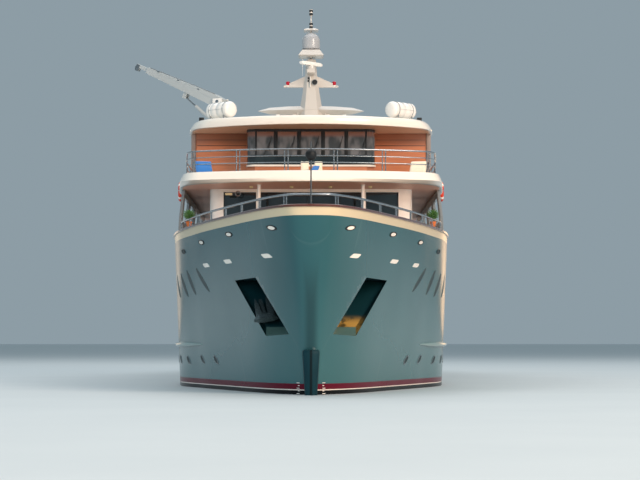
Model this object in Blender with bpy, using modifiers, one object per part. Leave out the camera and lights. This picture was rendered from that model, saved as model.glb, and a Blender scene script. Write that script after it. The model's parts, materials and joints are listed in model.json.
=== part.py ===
# Motor yacht at half its real size: hull, decks, houses, mast, crane and running gear.
# Metres, +Z up, z = 0 at the waterline, y = 0 amidships, bow towards -Y, port towards +X.
# Stations are distances aft of the bow tip; at() turns one into a y coordinate.
import math

import bmesh
import bpy
from mathutils import Matrix, Vector

# Hull
LENGTH = 23.5
BEAM = 4.38
HALF_BEAM = BEAM / 2
DRAFT = 1.20
RIM_Z = 2.385
DECK_Z = 1.78
SHEER_DROP = 0.012
SHEER_COLUMN = 10
STEM_RAKE = 1.05
STEM_POWER = 1.15
FOREFOOT = 1.30
ENTRANCE = 8.4
FLARE_POWER = 1.25
BILGE_POWER = 2.6
KEEL_HALF = 0.12
TRANSOM_S = 22.6
RUN_START = 12.0
RUN_POWER = 1.1
TRANSOM_DEPTH = 0.25
AFT_START = 15.0
AFT_NARROWING = 0.10

# Bulwark, cap rail and rub rail
BULWARK_THICK = 0.05
CAP_WIDTH = 0.13
CAP_THICK = 0.034
CAP_OVERHANG = 0.022
CAP_END_S = 13.6
RUB_Z = 0.65
RUB_HEIGHT = 0.075
RUB_DEPTH = 0.07
RUB_START_S = 4.4

# Bow fin under the stem
FIN_TOP_Z = 0.588
FIN_TOP_WIDTH = 0.224
FIN_WATER_WIDTH = 0.163
FIN_FRONT_S = 0.72

# Anchor pockets: half breadth and height of each corner
POCKET_FRONT_S = 0.3
POCKET_SILL_RISE = 0.12
POCKET_DEPTH = 0.15
POCKET_CORNERS = (
    # half breadth, height
    (1.035, 1.522),
    (0.733, 1.536),
    (0.284, 0.787),
    (0.595, 0.766),
)
ANCHOR_X = 0.585
ANCHOR_WIDTH = 0.33
ANCHOR_LENGTH = 0.48
ANCHOR_TILT = 12.0

# Foredeck fittings
WINDLASS_S = 2.35
BITT_S = 3.35
BITT_X = 0.98
AFT_BITT_S = 21.7
AFT_BITT_X = 1.45
BITT_RADIUS = 0.05
BITT_HEIGHT = 0.22
HATCH_S = 3.45
HATCH_LENGTH = 0.62
HATCH_WIDTH = 0.60
COAMING_HEIGHT = 0.14
COAMING_THICK = 0.03
LID_THICK = 0.035
STAFF_TOP_Z = 3.206
STAFF_RADIUS = 0.012
BALL_Z = 3.041
BALL_RADIUS = 0.078
BOW_RAIL_HEIGHT = 0.125
BOW_RAIL_END_S = 5.0
BOW_POST_PITCH = 0.78
RAIL_RADIUS = 0.011

# Saloon on the main deck
SALOON_FRONT_S = 6.1
SALOON_AFT_S = 17.4
SALOON_HALF = 1.585
WALL_THICK = 0.06
CORNER_RADIUS = 0.16
SALOON_SILL_Z = 2.15
SALOON_HEAD_Z = 3.02
SALOON_SIDE_WINDOWS = 6
FRONT_PANES = (
    # inner edge, outer edge
    (-1.366, -0.857),
    (-0.786, 0.786),
    (0.857, 1.366),
)
DOOR_THICK = 0.03
PILLAR_RADIUS = 0.024
PILLAR_S = 5.25
PILLAR_X = 0.79
AFT_PILLAR_S = 18.7
AFT_PILLAR_X = 1.80

# Upper deck
CEILING_Z = 3.07
FLOOR_Z = 3.17
EDGE_TOP_Z = 3.242
EDGE_WIDTH = 0.06
EDGE_SLOPE = 0.085
UPPER_HALF = 2.12
UPPER_FRONT_S = 4.6
UPPER_SAG = 0.35
UPPER_CORNER = 0.42
UPPER_AFT_S = 19.2
RAIL_TOP_Z = 3.573
RAIL_LEVELS = (3.374, 3.479, RAIL_TOP_Z)
RAIL_END_S = 8.8
LOUNGER_S = 5.95
LOUNGER_INSET = 0.60
LOUNGER_TURN = 16.0
POST_PITCH = 0.72
POST_WIDTH = 0.054
POST_THICK = 0.014
WING_FRONT_S = 6.15
WING_LENGTH = 7.1
WING_THICK = 0.045
WING_WINDOWS = 4

# Upper house and bridge
BRIDGE_FRONT_S = 8.27
BRIDGE_HALF = 1.066
BRIDGE_CORNER = 0.13
CABIN_FRONT_S = 9.0
CABIN_AFT_S = 16.4
CABIN_HALF = 1.965
ROOF_UNDER_Z = 4.24
BRIDGE_SILL_Z = 3.815
BRIDGE_HEAD_Z = 4.20
BRIDGE_PANES = (
    # port to starboard edges of each pane
    (-0.95, -0.624),
    (-0.557, -0.234),
    (-0.167, 0.167),
    (0.234, 0.557),
    (0.624, 0.95),
)
CABIN_SILL_Z = 3.55
CABIN_HEAD_Z = 4.08
CABIN_SIDE_WINDOWS = 5
GLASS_THICK = 0.012

# Roof
ROOF_FRONT_S = 7.4
ROOF_SAG = 0.62
ROOF_CORNER = 0.36
ROOF_HALF = 2.09
ROOF_AFT_S = 17.6
ROOF_EDGE_Z = 4.34
ROOF_TOP_Z = 4.37

# Mast, radar and dome
MAST_S = 11.0
MAST_HALF_X = 0.153
WING_SPAN = 0.957
MAST_WING_Z = 4.857
MAST_WING_THICK = 0.165
TREE_Z = 5.285
TREE_TOP_Z = 5.48
TREE_SPAN = 0.496
RADAR_Z = 5.66
RADAR_LENGTH = 0.54
RADAR_OUT = 0.40
RADAR_TURN = 48.0
PLATFORM_Z = 5.82
PLATFORM_TOP_Z = 5.94
DOME_RADIUS = 0.1625
DOME_HEIGHT = 0.33
UPPER_PLATFORM_Z = 6.31
MASTHEAD_Z = 6.70

# Life-rafts
RAFT_S = 9.35
RAFT_X = 1.55
RAFT_Z = 4.68
RAFT_RADIUS = 0.14
RAFT_LENGTH = 0.56
RAFT_TURN = 45.0

# Crane
CRANE_S = 12.5
CRANE_X = -1.71
CRANE_BASE_TOP_Z = 4.72
CRANE_PIVOT_Z = 5.20
CRANE_HEADING = 60.0
CRANE_LIFT = 23.5
BOOM_LENGTH = 1.80
BOOM_ROOT_DEPTH = 0.22
BOOM_TIP_DEPTH = 0.12
BOOM_BELOW = 0.55
BOOM_WIDTH = 0.15
JIB_SIDE = 0.066
JIB_LENGTH = 1.55
JIB_REACH = 2.08
BORE_SPARE = 0.08
RAM_FOOT_OUT = 0.17
RAM_FOOT_DROP = 0.36
RAM_EYE_OUT = 0.78
RAM_EYE_DROP = 0.06
RAM_RADIUS = 0.032
ROD_RADIUS = 0.017
ROD_START = 0.17

# Running gear
SHAFT_X = 0.95
SHAFT_Z = -0.77
SHAFT_RADIUS = 0.045
SHAFT_START_S = 15.8
BOSS_S = 20.05
BOSS_LENGTH = 0.20
BOSS_RADIUS = 0.06
PROPELLER_RADIUS = 0.27
HUB_RADIUS = 0.058
HUB_LENGTH = 0.16
BLADES = 4
RUDDER_S = 21.2
RUDDER_CHORD = 0.44
RUDDER_TOP_Z = -0.45
RUDDER_BOTTOM_Z = -1.03
RUDDER_THICK = 0.07
STOCK_RADIUS = 0.035
STOCK_TOP_Z = -0.16
SKEG_START_S = 14.0
SKEG_END_S = 19.4
PLATFORM_HALF = 1.55
SWIM_Z = 0.36
SWIM_THICK = 0.10

# Doors, gate and stairs
GATE_S = 14.2
GATE_WIDTH = 0.50
GATE_SILL = 0.06
STAIR_HALF = 0.24
STAIR_TOP_S = 19.32
STAIR_FOOT_S = 20.55
STAIR_STEPS = 9

# Clearances
GAP = 0.0003
PIN_GAP = 0.0005
CLEAR = 0.007
PIN_RADIUS = 0.009
PIN_SIDES = 24
CUT = 0.05

# Hull lines: share of the entrance length, then the share of the half beam
LINES = (
    # run,   rim,   waterline
    (0.000, 0.000, 0.000),
    (0.004, 0.100, 0.030),
    (0.018, 0.166, 0.075),
    (0.040, 0.220, 0.140),
    (0.080, 0.296, 0.235),
    (0.140, 0.387, 0.335),
    (0.220, 0.497, 0.440),
    (0.320, 0.630, 0.568),
    (0.460, 0.785, 0.745),
    (0.640, 0.935, 0.930),
    (0.820, 0.990, 0.975),
    (1.000, 1.000, 0.985),
)
# Shares of the hull's length at which its sections stand
COLUMNS = (0.0, 0.003, 0.009, 0.02, 0.035, 0.055, 0.08, 0.11, 0.145, 0.19, 0.24,
           0.30, 0.37, 0.45, 0.54, 0.63, 0.72, 0.81, 0.90, 1.0)
# Shares of the local depth below the waterline
DEPTHS = (1.0, 0.94, 0.82, 0.66, 0.45, 0.22)
# Heights above the waterline
LEVELS = (0.0, 0.30, RUB_Z - RUB_HEIGHT / 2, RUB_Z + RUB_HEIGHT / 2, 1.05, 1.42, DECK_Z)


def at(station):
    return station - LENGTH / 2


# Scene and materials

for old in list(bpy.data.objects):
    bpy.data.objects.remove(old)

PARTS = bpy.data.collections.new("motor_yacht")
CUTTERS = bpy.data.collections.new("cutters")
bpy.context.scene.collection.children.link(PARTS)
bpy.context.scene.collection.children.link(CUTTERS)


def linear(code):
    values = [int(code[i:i + 2], 16) / 255 for i in (0, 2, 4)]
    return [v / 12.92 if v <= 0.04045 else ((v + 0.055) / 1.055) ** 2.4 for v in values]


def material(name, code, roughness=0.4, metallic=0.0):
    mat = bpy.data.materials.new(name)
    mat.use_nodes = True
    shader = mat.node_tree.nodes["Principled BSDF"]
    shader.inputs["Base Color"].default_value = (*linear(code), 1.0)
    shader.inputs["Roughness"].default_value = roughness
    shader.inputs["Metallic"].default_value = metallic
    return mat


HULL_PAINT = material("hull_paint", "4a7272", 0.25)
WHITE_PAINT = material("white_paint", "f4efe6", 0.35)
TEAK = material("teak", "6b3a28", 0.5)
WALL_PAINT = material("copper_wall", "a8674a", 0.4)
DARK_GLASS = material("dark_glass", "16262c", 0.08)
STEEL = material("steel", "c8ccce", 0.2, 1.0)
GALVANISED = material("galvanised", "8a8f90", 0.5, 0.8)
BRONZE = material("bronze", "a8743c", 0.35, 1.0)
CRANE_PAINT = material("crane_paint", "e9e6df", 0.4)
CANVAS = material("canvas", "2f6fa8", 0.8)


# Mesh helpers

def add_object(name, bm, mat, hidden=False, smooth=None):
    bmesh.ops.recalc_face_normals(bm, faces=bm.faces[:])
    mesh = bpy.data.meshes.new(name)
    bm.to_mesh(mesh)
    bm.free()
    if mat:
        mesh.materials.append(mat)
    obj = bpy.data.objects.new(name, mesh)
    if hidden:
        CUTTERS.objects.link(obj)
        obj.hide_render = True
        obj.display_type = "WIRE"
    else:
        PARTS.objects.link(obj)
    if smooth:
        mesh.shade_smooth()
        mesh.set_sharp_from_angle(angle=math.radians(smooth))
    return obj


def rings_mesh(rings, closed=False):
    """A closed body through rings of points of one count; the end rings are capped."""
    bm = bmesh.new()
    rows = [[bm.verts.new(p) for p in ring] for ring in rings]
    count = len(rows[0])
    pairs = list(zip(rows, rows[1:]))
    if closed:
        pairs.append((rows[-1], rows[0]))
    for low, high in pairs:
        for k in range(count):
            n = (k + 1) % count
            bm.faces.new((low[k], low[n], high[n]))
            bm.faces.new((low[k], high[n], high[k]))
    if not closed:
        bm.faces.new(rows[0][::-1])
        bm.faces.new(rows[-1])
    return bm


def rings(name, ring_list, mat, closed=False, hidden=False, smooth=None):
    return add_object(name, rings_mesh(ring_list, closed), mat, hidden, smooth)


def box(name, x, y, z, mat, hidden=False):
    """A box over the ranges x, y and z."""
    bm = bmesh.new()
    bmesh.ops.create_cube(bm, size=1.0)
    for v in bm.verts:
        v.co = Vector([r[0] + (c + 0.5) * (r[1] - r[0]) for c, r in zip(v.co, (x, y, z))])
    return add_object(name, bm, mat, hidden)


def cylinder(name, start, end, radius, mat, hidden=False, sides=16, end_radius=None):
    """A cylinder or cone between two points."""
    start, end = Vector(start), Vector(end)
    axis = end - start
    bm = bmesh.new()
    bmesh.ops.create_cone(bm, cap_ends=True, segments=sides, radius1=radius,
                          radius2=radius if end_radius is None else end_radius, depth=axis.length)
    turn = Vector((0, 0, 1)).rotation_difference(axis.normalized()).to_matrix().to_4x4()
    bmesh.ops.transform(bm, matrix=Matrix.Translation((start + end) / 2) @ turn, verts=bm.verts)
    return add_object(name, bm, mat, hidden, smooth=None if hidden else 40)


def boolean(obj, others, operation):
    for other in others:
        mod = obj.modifiers.new(other.name, "BOOLEAN")
        mod.operation = operation
        mod.solver = "EXACT"
        mod.object = other
    return obj


def cut(obj, *cutters):
    return boolean(obj, cutters, "DIFFERENCE")


def weld(obj, *helpers):
    return boolean(obj, helpers, "UNION")


def move(obj, matrix):
    """Applies a matrix to a helper's or a part's mesh."""
    obj.data.transform(matrix)
    return obj


def bore(radius):
    """Bore radius for a pin of this radius: its flats clear the pin's corners."""
    return radius / math.cos(math.pi / PIN_SIDES) + PIN_GAP


def mirrored(points):
    return [(-x, y) for x, y in reversed(points)]


def nose_outline(half, front, sag, corner, aft, aft_corner=0.12):
    """Plan outline with a curved front: parabola, rounded corners, straight sides."""
    flat = half - corner
    slope = 2 * sag / flat
    points = [(flat * k / 5, front + sag * (k / 5) ** 2) for k in range(6)]
    p0 = Vector((flat, front + sag))
    p1 = Vector((half, front + sag + slope * corner))
    p2 = Vector((half, front + sag + slope * corner + 1.5 * corner))
    for k in (1, 2, 3, 4):
        t = k / 4
        p = p0 * (1 - t) ** 2 + p1 * 2 * t * (1 - t) + p2 * t * t
        points.append((p.x, p.y))
    points.append((half, aft - aft_corner))
    points.append((half - aft_corner, aft))
    port = [(x, at(s)) for x, s in points]
    return port + mirrored(port)[:-1]


def box_outline(half, front, aft, corner):
    """Plan outline of a house with rounded front corners."""
    points = []
    for k in range(5):
        a = math.radians(90 * k / 4)
        points.append((half - corner + corner * math.sin(a), at(front) + corner - corner * math.cos(a)))
    points.append((half, at(aft)))
    return points + mirrored(points)


def inset(outline, distance):
    """The outline moved inwards by a distance, its corners mitred."""
    count = len(outline)
    area = sum(outline[k][0] * outline[(k + 1) % count][1] - outline[(k + 1) % count][0] * outline[k][1]
               for k in range(count))
    side = 1 if area > 0 else -1
    moved = []
    for k in range(count):
        before, here, after = (Vector(outline[(k + j) % count]) for j in (-1, 0, 1))
        d1 = (here - before).normalized()
        d2 = (after - here).normalized()
        n1 = Vector((-d1.y, d1.x)) * side
        n2 = Vector((-d2.y, d2.x)) * side
        mitre = (n1 + n2) / max(1 + n1.dot(n2), 0.2)
        moved.append(tuple(here + mitre * distance))
    return moved


def lift(outline, z):
    return [(x, y, z) for x, y in outline]


def shell(name, outline, wall, low, high, mat):
    """A wall standing on an outline, open below and above."""
    inner = inset(outline, wall)
    loop = [lift(outline, low), lift(outline, high), lift(inner, high), lift(inner, low)]
    return rings(name, loop, mat, closed=True)


def tube_points(points, radius, sides=4):
    """Rings of a bar of few sides along a route, mitred at its bends."""
    points = [Vector(p) for p in points]
    result = []
    for k, here in enumerate(points):
        before = points[max(k - 1, 0)]
        after = points[min(k + 1, len(points) - 1)]
        along = (after - before).normalized()
        across = along.cross(Vector((0, 0, 1)))
        if across.length < 0.01:
            across = Vector((1, 0, 0))
        across.normalize()
        up = across.cross(along)
        ring = []
        for j in range(sides):
            a = 2 * math.pi * (j + 0.5) / sides
            ring.append(here + (across * math.cos(a) + up * math.sin(a)) * radius)
        result.append(ring)
    return result


def bar(name, points, radius, mat=None, hidden=True, sides=4):
    return rings(name, tube_points(points, radius, sides), mat, hidden=hidden)


# Hull surface

def smooth_table(column, share):
    """Monotone cubic through a column of the hull lines, over the root of the run."""
    root = math.sqrt(share)
    xs = [math.sqrt(row[0]) for row in LINES]
    ys = [row[column] for row in LINES]
    steps = [b - a for a, b in zip(xs, xs[1:])]
    slopes = [(b - a) / h for a, b, h in zip(ys, ys[1:], steps)]
    ends = [slopes[0]]
    for a, b in zip(slopes, slopes[1:]):
        ends.append(2 * a * b / (a + b) if a * b > 0 else 0.0)
    ends.append(slopes[-1])
    k = max(i for i in range(len(steps)) if xs[i] <= root)
    t = (root - xs[k]) / steps[k]
    h = steps[k]
    return ((1 + 2 * t) * (1 - t) ** 2 * ys[k] + t * (1 - t) ** 2 * h * ends[k]
            + t * t * (3 - 2 * t) * ys[k + 1] + t * t * (t - 1) * h * ends[k + 1])


def stem(z):
    """Station of the stem at a height above the waterline."""
    return STEM_RAKE * max(0.0, 1 - z / RIM_Z) ** STEM_POWER


def rim_z(station):
    """The rim falls evenly from the stem to one of the hull's sections, then runs level."""
    return RIM_Z - SHEER_DROP * min(station, COLUMNS[SHEER_COLUMN] * TRANSOM_S)


def keel_depth(station):
    rise = max(0.0, (station - RUN_START) / (TRANSOM_S - RUN_START)) ** RUN_POWER
    return DRAFT - (DRAFT - TRANSOM_DEPTH) * rise


def breadth(station, z, start=None):
    """Half breadth of the hull above the waterline, or of its waterline for z = 0."""
    own = stem(z) if start is None else start
    share = max(0.0, min(1.0, (station - own) / ENTRANCE))
    rim = smooth_table(1, share)
    water = smooth_table(2, share)
    blend = min(1.0, z / RIM_Z) ** FLARE_POWER
    narrowing = AFT_NARROWING * max(0.0, (station - AFT_START) / (TRANSOM_S - AFT_START)) ** 2
    return HALF_BEAM * (water + (rim - water) * blend) * (1 - narrowing)


def side_point(share, z):
    """A point of the hull's side above the waterline, at a share of its length."""
    start = stem(z)
    station = start + share * (TRANSOM_S - start)
    return Vector((breadth(station, z), at(station), z))


def bottom_point(share, depth):
    """A point of the hull's side below the waterline, at a share of its depth."""
    start = STEM_RAKE + FOREFOOT * depth ** 2
    station = start + share * (TRANSOM_S - start)
    half = breadth(station, 0.0, start) * max(0.0, 1 - depth ** BILGE_POWER) ** (1 / BILGE_POWER)
    keel = KEEL_HALF * min(1.0, (station - start) / 1.5)
    return Vector((max(half, keel), at(station), -depth * keel_depth(station)))


def rim_point(share):
    point = side_point(share, RIM_Z)
    station = point.y - at(0)
    return Vector((breadth(station, rim_z(station), 0.0), point.y, rim_z(station)))


def facet_point(station, z):
    """A point of the hull's flat facets above the waterline, at a station."""
    points = [side_point(u, z) for u in COLUMNS]
    y = at(station)
    k = max(i for i in range(len(points) - 1) if points[i].y <= y)
    t = (y - points[k].y) / (points[k + 1].y - points[k].y)
    return points[k].lerp(points[k + 1], t)


def build_hull():
    rows = [[bottom_point(u, d) for u in COLUMNS] for d in DEPTHS]
    rows += [[side_point(u, z) for u in COLUMNS] for z in LEVELS]
    keel_line = [Vector((0, p.y, p.z)) for p in rows[0]]
    deck_line = [Vector((0, p.y, p.z)) for p in rows[-1]]
    rows = [keel_line] + rows + [deck_line]
    bm = bmesh.new()
    grid = [[bm.verts.new(p) for p in row] for row in rows]
    for low, high in zip(grid, grid[1:]):
        for k in range(len(COLUMNS) - 1):
            bm.faces.new((low[k], low[k + 1], high[k + 1]))
            bm.faces.new((low[k], high[k + 1], high[k]))
    bm.faces.new([row[-1] for row in grid])
    bmesh.ops.remove_doubles(bm, verts=bm.verts, dist=0.00001)
    bmesh.ops.dissolve_degenerate(bm, edges=bm.edges, dist=0.00001)
    faces = bm.faces[:]
    bmesh.ops.recalc_face_normals(bm, faces=faces)
    top = max(faces, key=lambda f: f.calc_center_median().z)
    if top.normal.z < 0:
        bmesh.ops.reverse_faces(bm, faces=faces)
    mesh = bpy.data.meshes.new("hull")
    bm.to_mesh(mesh)
    bm.free()
    mesh.materials.append(HULL_PAINT)
    hull = bpy.data.objects.new("hull", mesh)
    PARTS.objects.link(hull)
    mirror = hull.modifiers.new("Mirror", "MIRROR")
    mirror.use_axis = (True, False, False)
    mirror.use_clip = True
    mirror.merge_threshold = 0.0001
    weld(hull, bow_fin(), skeg(), *stern_gear())
    cut(hull, pocket_cutter(1), pocket_cutter(-1))
    for side in (1, -1):
        x = side * SHAFT_X
        cut(hull, cylinder("stock_bore", (x, at(RUDDER_S), RUDDER_TOP_Z),
                           (x, at(RUDDER_S), STOCK_TOP_Z + CLEAR),
                           bore(STOCK_RADIUS), None, hidden=True, sides=PIN_SIDES))
    return hull


def bow_fin():
    """The narrow fin under the raked stem, with a sharp front edge."""
    levels = (
        # height, width, front station
        (-1.00, 0.12, 1.75),
        (-0.60, 0.14, 1.15),
        (-0.20, 0.15, FIN_FRONT_S + 0.10),
        (0.00, FIN_WATER_WIDTH, FIN_FRONT_S + 0.03),
        (FIN_TOP_Z - 0.06, FIN_TOP_WIDTH, FIN_FRONT_S - 0.02),
        (FIN_TOP_Z, FIN_TOP_WIDTH - 0.05, FIN_FRONT_S + 0.03),
    )
    ring_list = []
    for z, width, front in levels:
        back = max(1.6, front + 0.75)
        half = width / 2
        plan = [(0, front), (half, front + 0.05), (half, back), (-half, back), (-half, front + 0.05)]
        ring_list.append([(x, at(s), z) for x, s in plan])
    return rings("bow_fin", ring_list, None, hidden=True)


def skeg():
    """Centreline fin that carries the keel's line aft."""
    top = -0.35
    plan = [(SKEG_START_S, -DRAFT), (SKEG_END_S - 0.25, -DRAFT), (SKEG_END_S, top), (SKEG_START_S, top)]
    ring_list = [[(x, at(s), z) for s, z in plan] for x in (-KEEL_HALF / 2, KEEL_HALF / 2)]
    return rings("skeg", ring_list, None, hidden=True)


def stern_gear():
    """Stern tubes, bearing bosses and their struts on both sides."""
    helpers = []
    for side in (1, -1):
        x = side * SHAFT_X
        boss_end = BOSS_S + BOSS_LENGTH / 2
        helpers.append(cylinder("stern_tube", (x, at(SHAFT_START_S), SHAFT_Z), (x, at(BOSS_S), SHAFT_Z),
                                SHAFT_RADIUS, None, hidden=True, sides=12))
        helpers.append(cylinder("boss", (x, at(BOSS_S - BOSS_LENGTH / 2), SHAFT_Z),
                                (x, at(boss_end), SHAFT_Z),
                                BOSS_RADIUS, None, hidden=True, sides=12))
        helpers.append(box("strut", (x - 0.015, x + 0.015), (at(BOSS_S - 0.08), at(BOSS_S + 0.07)),
                           (SHAFT_Z, -0.30), None, hidden=True))
    return helpers


# Anchor pockets and the anchor

def station_at(x, z):
    """Station at which the hull's side above the waterline reaches a half breadth."""
    low, high = stem(z), stem(z) + ENTRANCE
    for _ in range(30):
        middle = (low + high) / 2
        if breadth(middle, z) < x:
            low = middle
        else:
            high = middle
    return low


def pocket_corners(side):
    """Corners on the hull's side: outer top, inner top, inner low, outer low."""
    return [Vector((side * x, at(station_at(x, z)), z)) for x, z in POCKET_CORNERS]


def pocket_wall(side):
    """Corners of the pocket's flat back wall, which leans aft behind its outer edge."""
    corners = pocket_corners(side)
    top_y, low_y = corners[0].y + POCKET_DEPTH, corners[3].y + POCKET_DEPTH
    top_z, low_z = corners[0].z, corners[3].z + POCKET_SILL_RISE
    return [Vector((p.x, top_y, top_z)) if k < 2 else Vector((p.x, low_y, low_z))
            for k, p in enumerate(corners)]


def pocket_cutter(side):
    """A recess cut straight aft to the pocket's edge, then up its sill to the back wall."""
    mouth = pocket_corners(side)
    front = [Vector((p.x, at(POCKET_FRONT_S), p.z)) for p in mouth]
    return rings("anchor_pocket", [front, mouth, pocket_wall(side)], None, hidden=True)


def build_anchor():
    """Stockless anchor: its shank lies on the starboard pocket's back wall, its crown stands proud."""
    wall = pocket_wall(-1)
    up = Vector((0, wall[0].y - wall[3].y, wall[0].z - wall[3].z)).normalized()
    across = Vector((1, 0, 0))
    normal = across.cross(up)
    if normal.y > 0:
        normal = -normal
    origin = Vector((-ANCHOR_X, wall[3].y, wall[3].z))
    rest = GAP * 2
    half = ANCHOR_WIDTH / 2
    crown = []
    for x, low, high, back, front in ((-half, 0.035, 0.060, 0.085, 0.105),
                                      (-half * 0.55, 0.020, 0.110, 0.07, 0.15),
                                      (half * 0.55, 0.020, 0.110, 0.07, 0.15),
                                      (half, 0.035, 0.060, 0.085, 0.105)):
        crown.append([(x, low, rest + back), (x, high, rest + back), (x, high, rest + front),
                      (x, low, rest + front)])
    anchor = rings("anchor_starboard", crown, GALVANISED)
    pieces = [box("shank", (-0.024, 0.024), (0.08, ANCHOR_LENGTH), (rest, rest + 0.09), None, hidden=True)]
    for sign in (1, -1):
        ring_list = []
        for y, inner, outer, low, high in ((0.09, 0.040, 0.120, 0.08, 0.14), (0.32, 0.050, 0.105, 0.09, 0.13),
                                           (0.48, 0.070, 0.082, 0.10, 0.11)):
            ring_list.append([(sign * inner, y, rest + low), (sign * outer, y, rest + low),
                              (sign * outer, y, rest + high), (sign * inner, y, rest + high)])
        pieces.append(rings("fluke", ring_list, None, hidden=True))
    frame = Matrix((across, up, normal)).transposed().to_4x4()
    frame.translation = origin
    frame = frame @ Matrix.Rotation(math.radians(ANCHOR_TILT), 4, "Z")
    for obj in [anchor] + pieces:
        move(obj, frame)
        if frame.determinant() < 0:
            obj.data.flip_normals()
    return weld(anchor, *pieces)


# Bulwarks, caps and rub rails

def offset_route(points, distance):
    """A plan route moved sideways towards the centreline, mitred."""
    moved = []
    for k, here in enumerate(points):
        d1 = (here - points[max(k - 1, 0)]) if k else (points[1] - here)
        d2 = (points[k + 1] - here) if k < len(points) - 1 else d1
        n1 = Vector((-d1.y, d1.x, 0)).normalized()
        n2 = Vector((-d2.y, d2.x, 0)).normalized()
        mitre = (n1 + n2) / max(1 + n1.dot(n2), 0.3)
        p = here + mitre * distance
        moved.append(Vector((max(p.x, GAP), p.y, here.z)))
    return moved


def side_copy(ring_list, side):
    return [[(side * p[0], p[1], p[2]) for p in ring] for ring in ring_list]


def bulwark_route(top):
    """Outer points of the bulwark's foot or rim from the stem to the transom's gap."""
    points = [rim_point(u) if top else side_point(u, DECK_Z) for u in COLUMNS]
    points = [Vector((max(p.x, GAP), p.y, p.z)) for p in points]
    corner = points[-1]
    points.append(Vector((0.55, corner.y, corner.z)))
    return points


def build_bulwark(side, name):
    low = bulwark_route(False)
    high = bulwark_route(True)
    low_in = offset_route(low, BULWARK_THICK)
    high_in = offset_route(high, BULWARK_THICK)
    ring_list = []
    for a, b, c, d in zip(low, high, high_in, low_in):
        foot = DECK_Z + GAP
        ring_list.append([(a.x, a.y, foot), tuple(b), tuple(c), (d.x, d.y, foot)])
    bulwark = rings(name, side_copy(ring_list, side), HULL_PAINT)
    half = GATE_WIDTH / 2
    reach = sorted((side * (HALF_BEAM - 0.4), side * (HALF_BEAM + 0.2)))
    opening = box("gate_opening", reach, (at(GATE_S - half), at(GATE_S + half)),
                  (DECK_Z + GATE_SILL, RIM_Z + 0.3), None, hidden=True)
    axis_x, axis_z = gate_axis(side)
    pin_bore = cylinder("gate_bore", (axis_x, at(GATE_S - half - 0.03), axis_z),
                        (axis_x, at(GATE_S + half + 0.03), axis_z), bore(PIN_RADIUS), None,
                        hidden=True, sides=PIN_SIDES)
    return cut(bulwark, opening, pin_bore)


def gate_axis(side):
    x = breadth(GATE_S, DECK_Z + GATE_SILL) - BULWARK_THICK / 2
    return side * x, DECK_Z + GATE_SILL + 0.027


def build_gate(side, name):
    """Boarding gate, hinged along its foot so that it drops outwards."""
    x, z = gate_axis(side)
    half = GATE_WIDTH / 2 - CLEAR
    top = rim_z(GATE_S) + CAP_THICK
    leaf = box(name, (x - DOOR_THICK / 2, x + DOOR_THICK / 2), (at(GATE_S - half), at(GATE_S + half)),
               (z - DOOR_THICK / 2, top), HULL_PAINT)
    pin = cylinder("gate_pin", (x, at(GATE_S) - half - 0.028, z), (x, at(GATE_S) + half + 0.028, z),
                   PIN_RADIUS, None, hidden=True, sides=PIN_SIDES)
    return weld(leaf, pin)


def build_cap(side, name):
    """Hardwood cap on the bulwark, from the stem to the boarding gate."""
    route = [rim_point(u) for u in COLUMNS if u * TRANSOM_S < CAP_END_S]
    route.append(rim_point(CAP_END_S / TRANSOM_S))
    route = [Vector((max(p.x, GAP), p.y, p.z)) for p in route]
    outer = offset_route(route, -CAP_OVERHANG)
    inner = offset_route(route, CAP_WIDTH - CAP_OVERHANG)
    ring_list = []
    for a, b in zip(outer, inner):
        low = a.z + GAP
        high = low + CAP_THICK
        ring_list.append([(a.x, a.y, low), (a.x, a.y, high), (b.x, b.y, high), (b.x, b.y, low)])
    return rings(name, side_copy(ring_list, side), TEAK)


def build_rub_rail(side, name):
    """Half-round guard along the side, seated on the hull's own facets."""
    low_z, high_z = RUB_Z - RUB_HEIGHT / 2, RUB_Z + RUB_HEIGHT / 2
    rows = []
    for z in (low_z, high_z):
        row = [side_point(u, z) for u in COLUMNS]
        rows.append([facet_point(RUB_START_S, z)] + [p for p in row if p.y > at(RUB_START_S) + 0.02])
    low_row, high_row = rows
    seat = GAP * 1.5
    ring_list = []
    for k, (low, high) in enumerate(zip(low_row, high_row)):
        out = RUB_DEPTH if k else 0.008
        edge = out * 0.45
        ring_list.append([
            (low.x + seat, low.y, low.z), (high.x + seat, high.y, high.z),
            (high.x + edge, high.y, high.z), (high.x + out, high.y, high.z - RUB_HEIGHT * 0.3),
            (low.x + out, low.y, low.z + RUB_HEIGHT * 0.3), (low.x + edge, low.y, low.z)])
    return rings(name, side_copy(ring_list, side), HULL_PAINT)


# Foredeck

def build_windlass():
    """Anchor windlass: gearcase on a plate, with a chain wheel and a warping drum each side."""
    y = at(WINDLASS_S)
    low = DECK_Z + GAP
    windlass = box("windlass", (-0.34, 0.34), (y - 0.13, y + 0.13), (low, low + 0.03), GALVANISED)
    z = low + 0.16
    pieces = [
        box("gearcase", (-0.075, 0.075), (y - 0.10, y + 0.10), (low + 0.01, low + 0.25), None, hidden=True),
        cylinder("shaft", (-0.42, y, z), (0.42, y, z), 0.025, None, hidden=True),
    ]
    for side in (1, -1):
        pieces.append(cylinder("wheel", (side * 0.14, y, z), (side * 0.22, y, z), 0.10, None, hidden=True))
        pieces.append(box("bearing", sorted((side * 0.26, side * 0.30)), (y - 0.04, y + 0.04),
                          (low + 0.01, z + 0.05), None, hidden=True))
        pieces.append(cylinder("drum", (side * 0.33, y, z), (side * 0.44, y, z), 0.065, None, hidden=True))
    return weld(windlass, *pieces)


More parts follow.
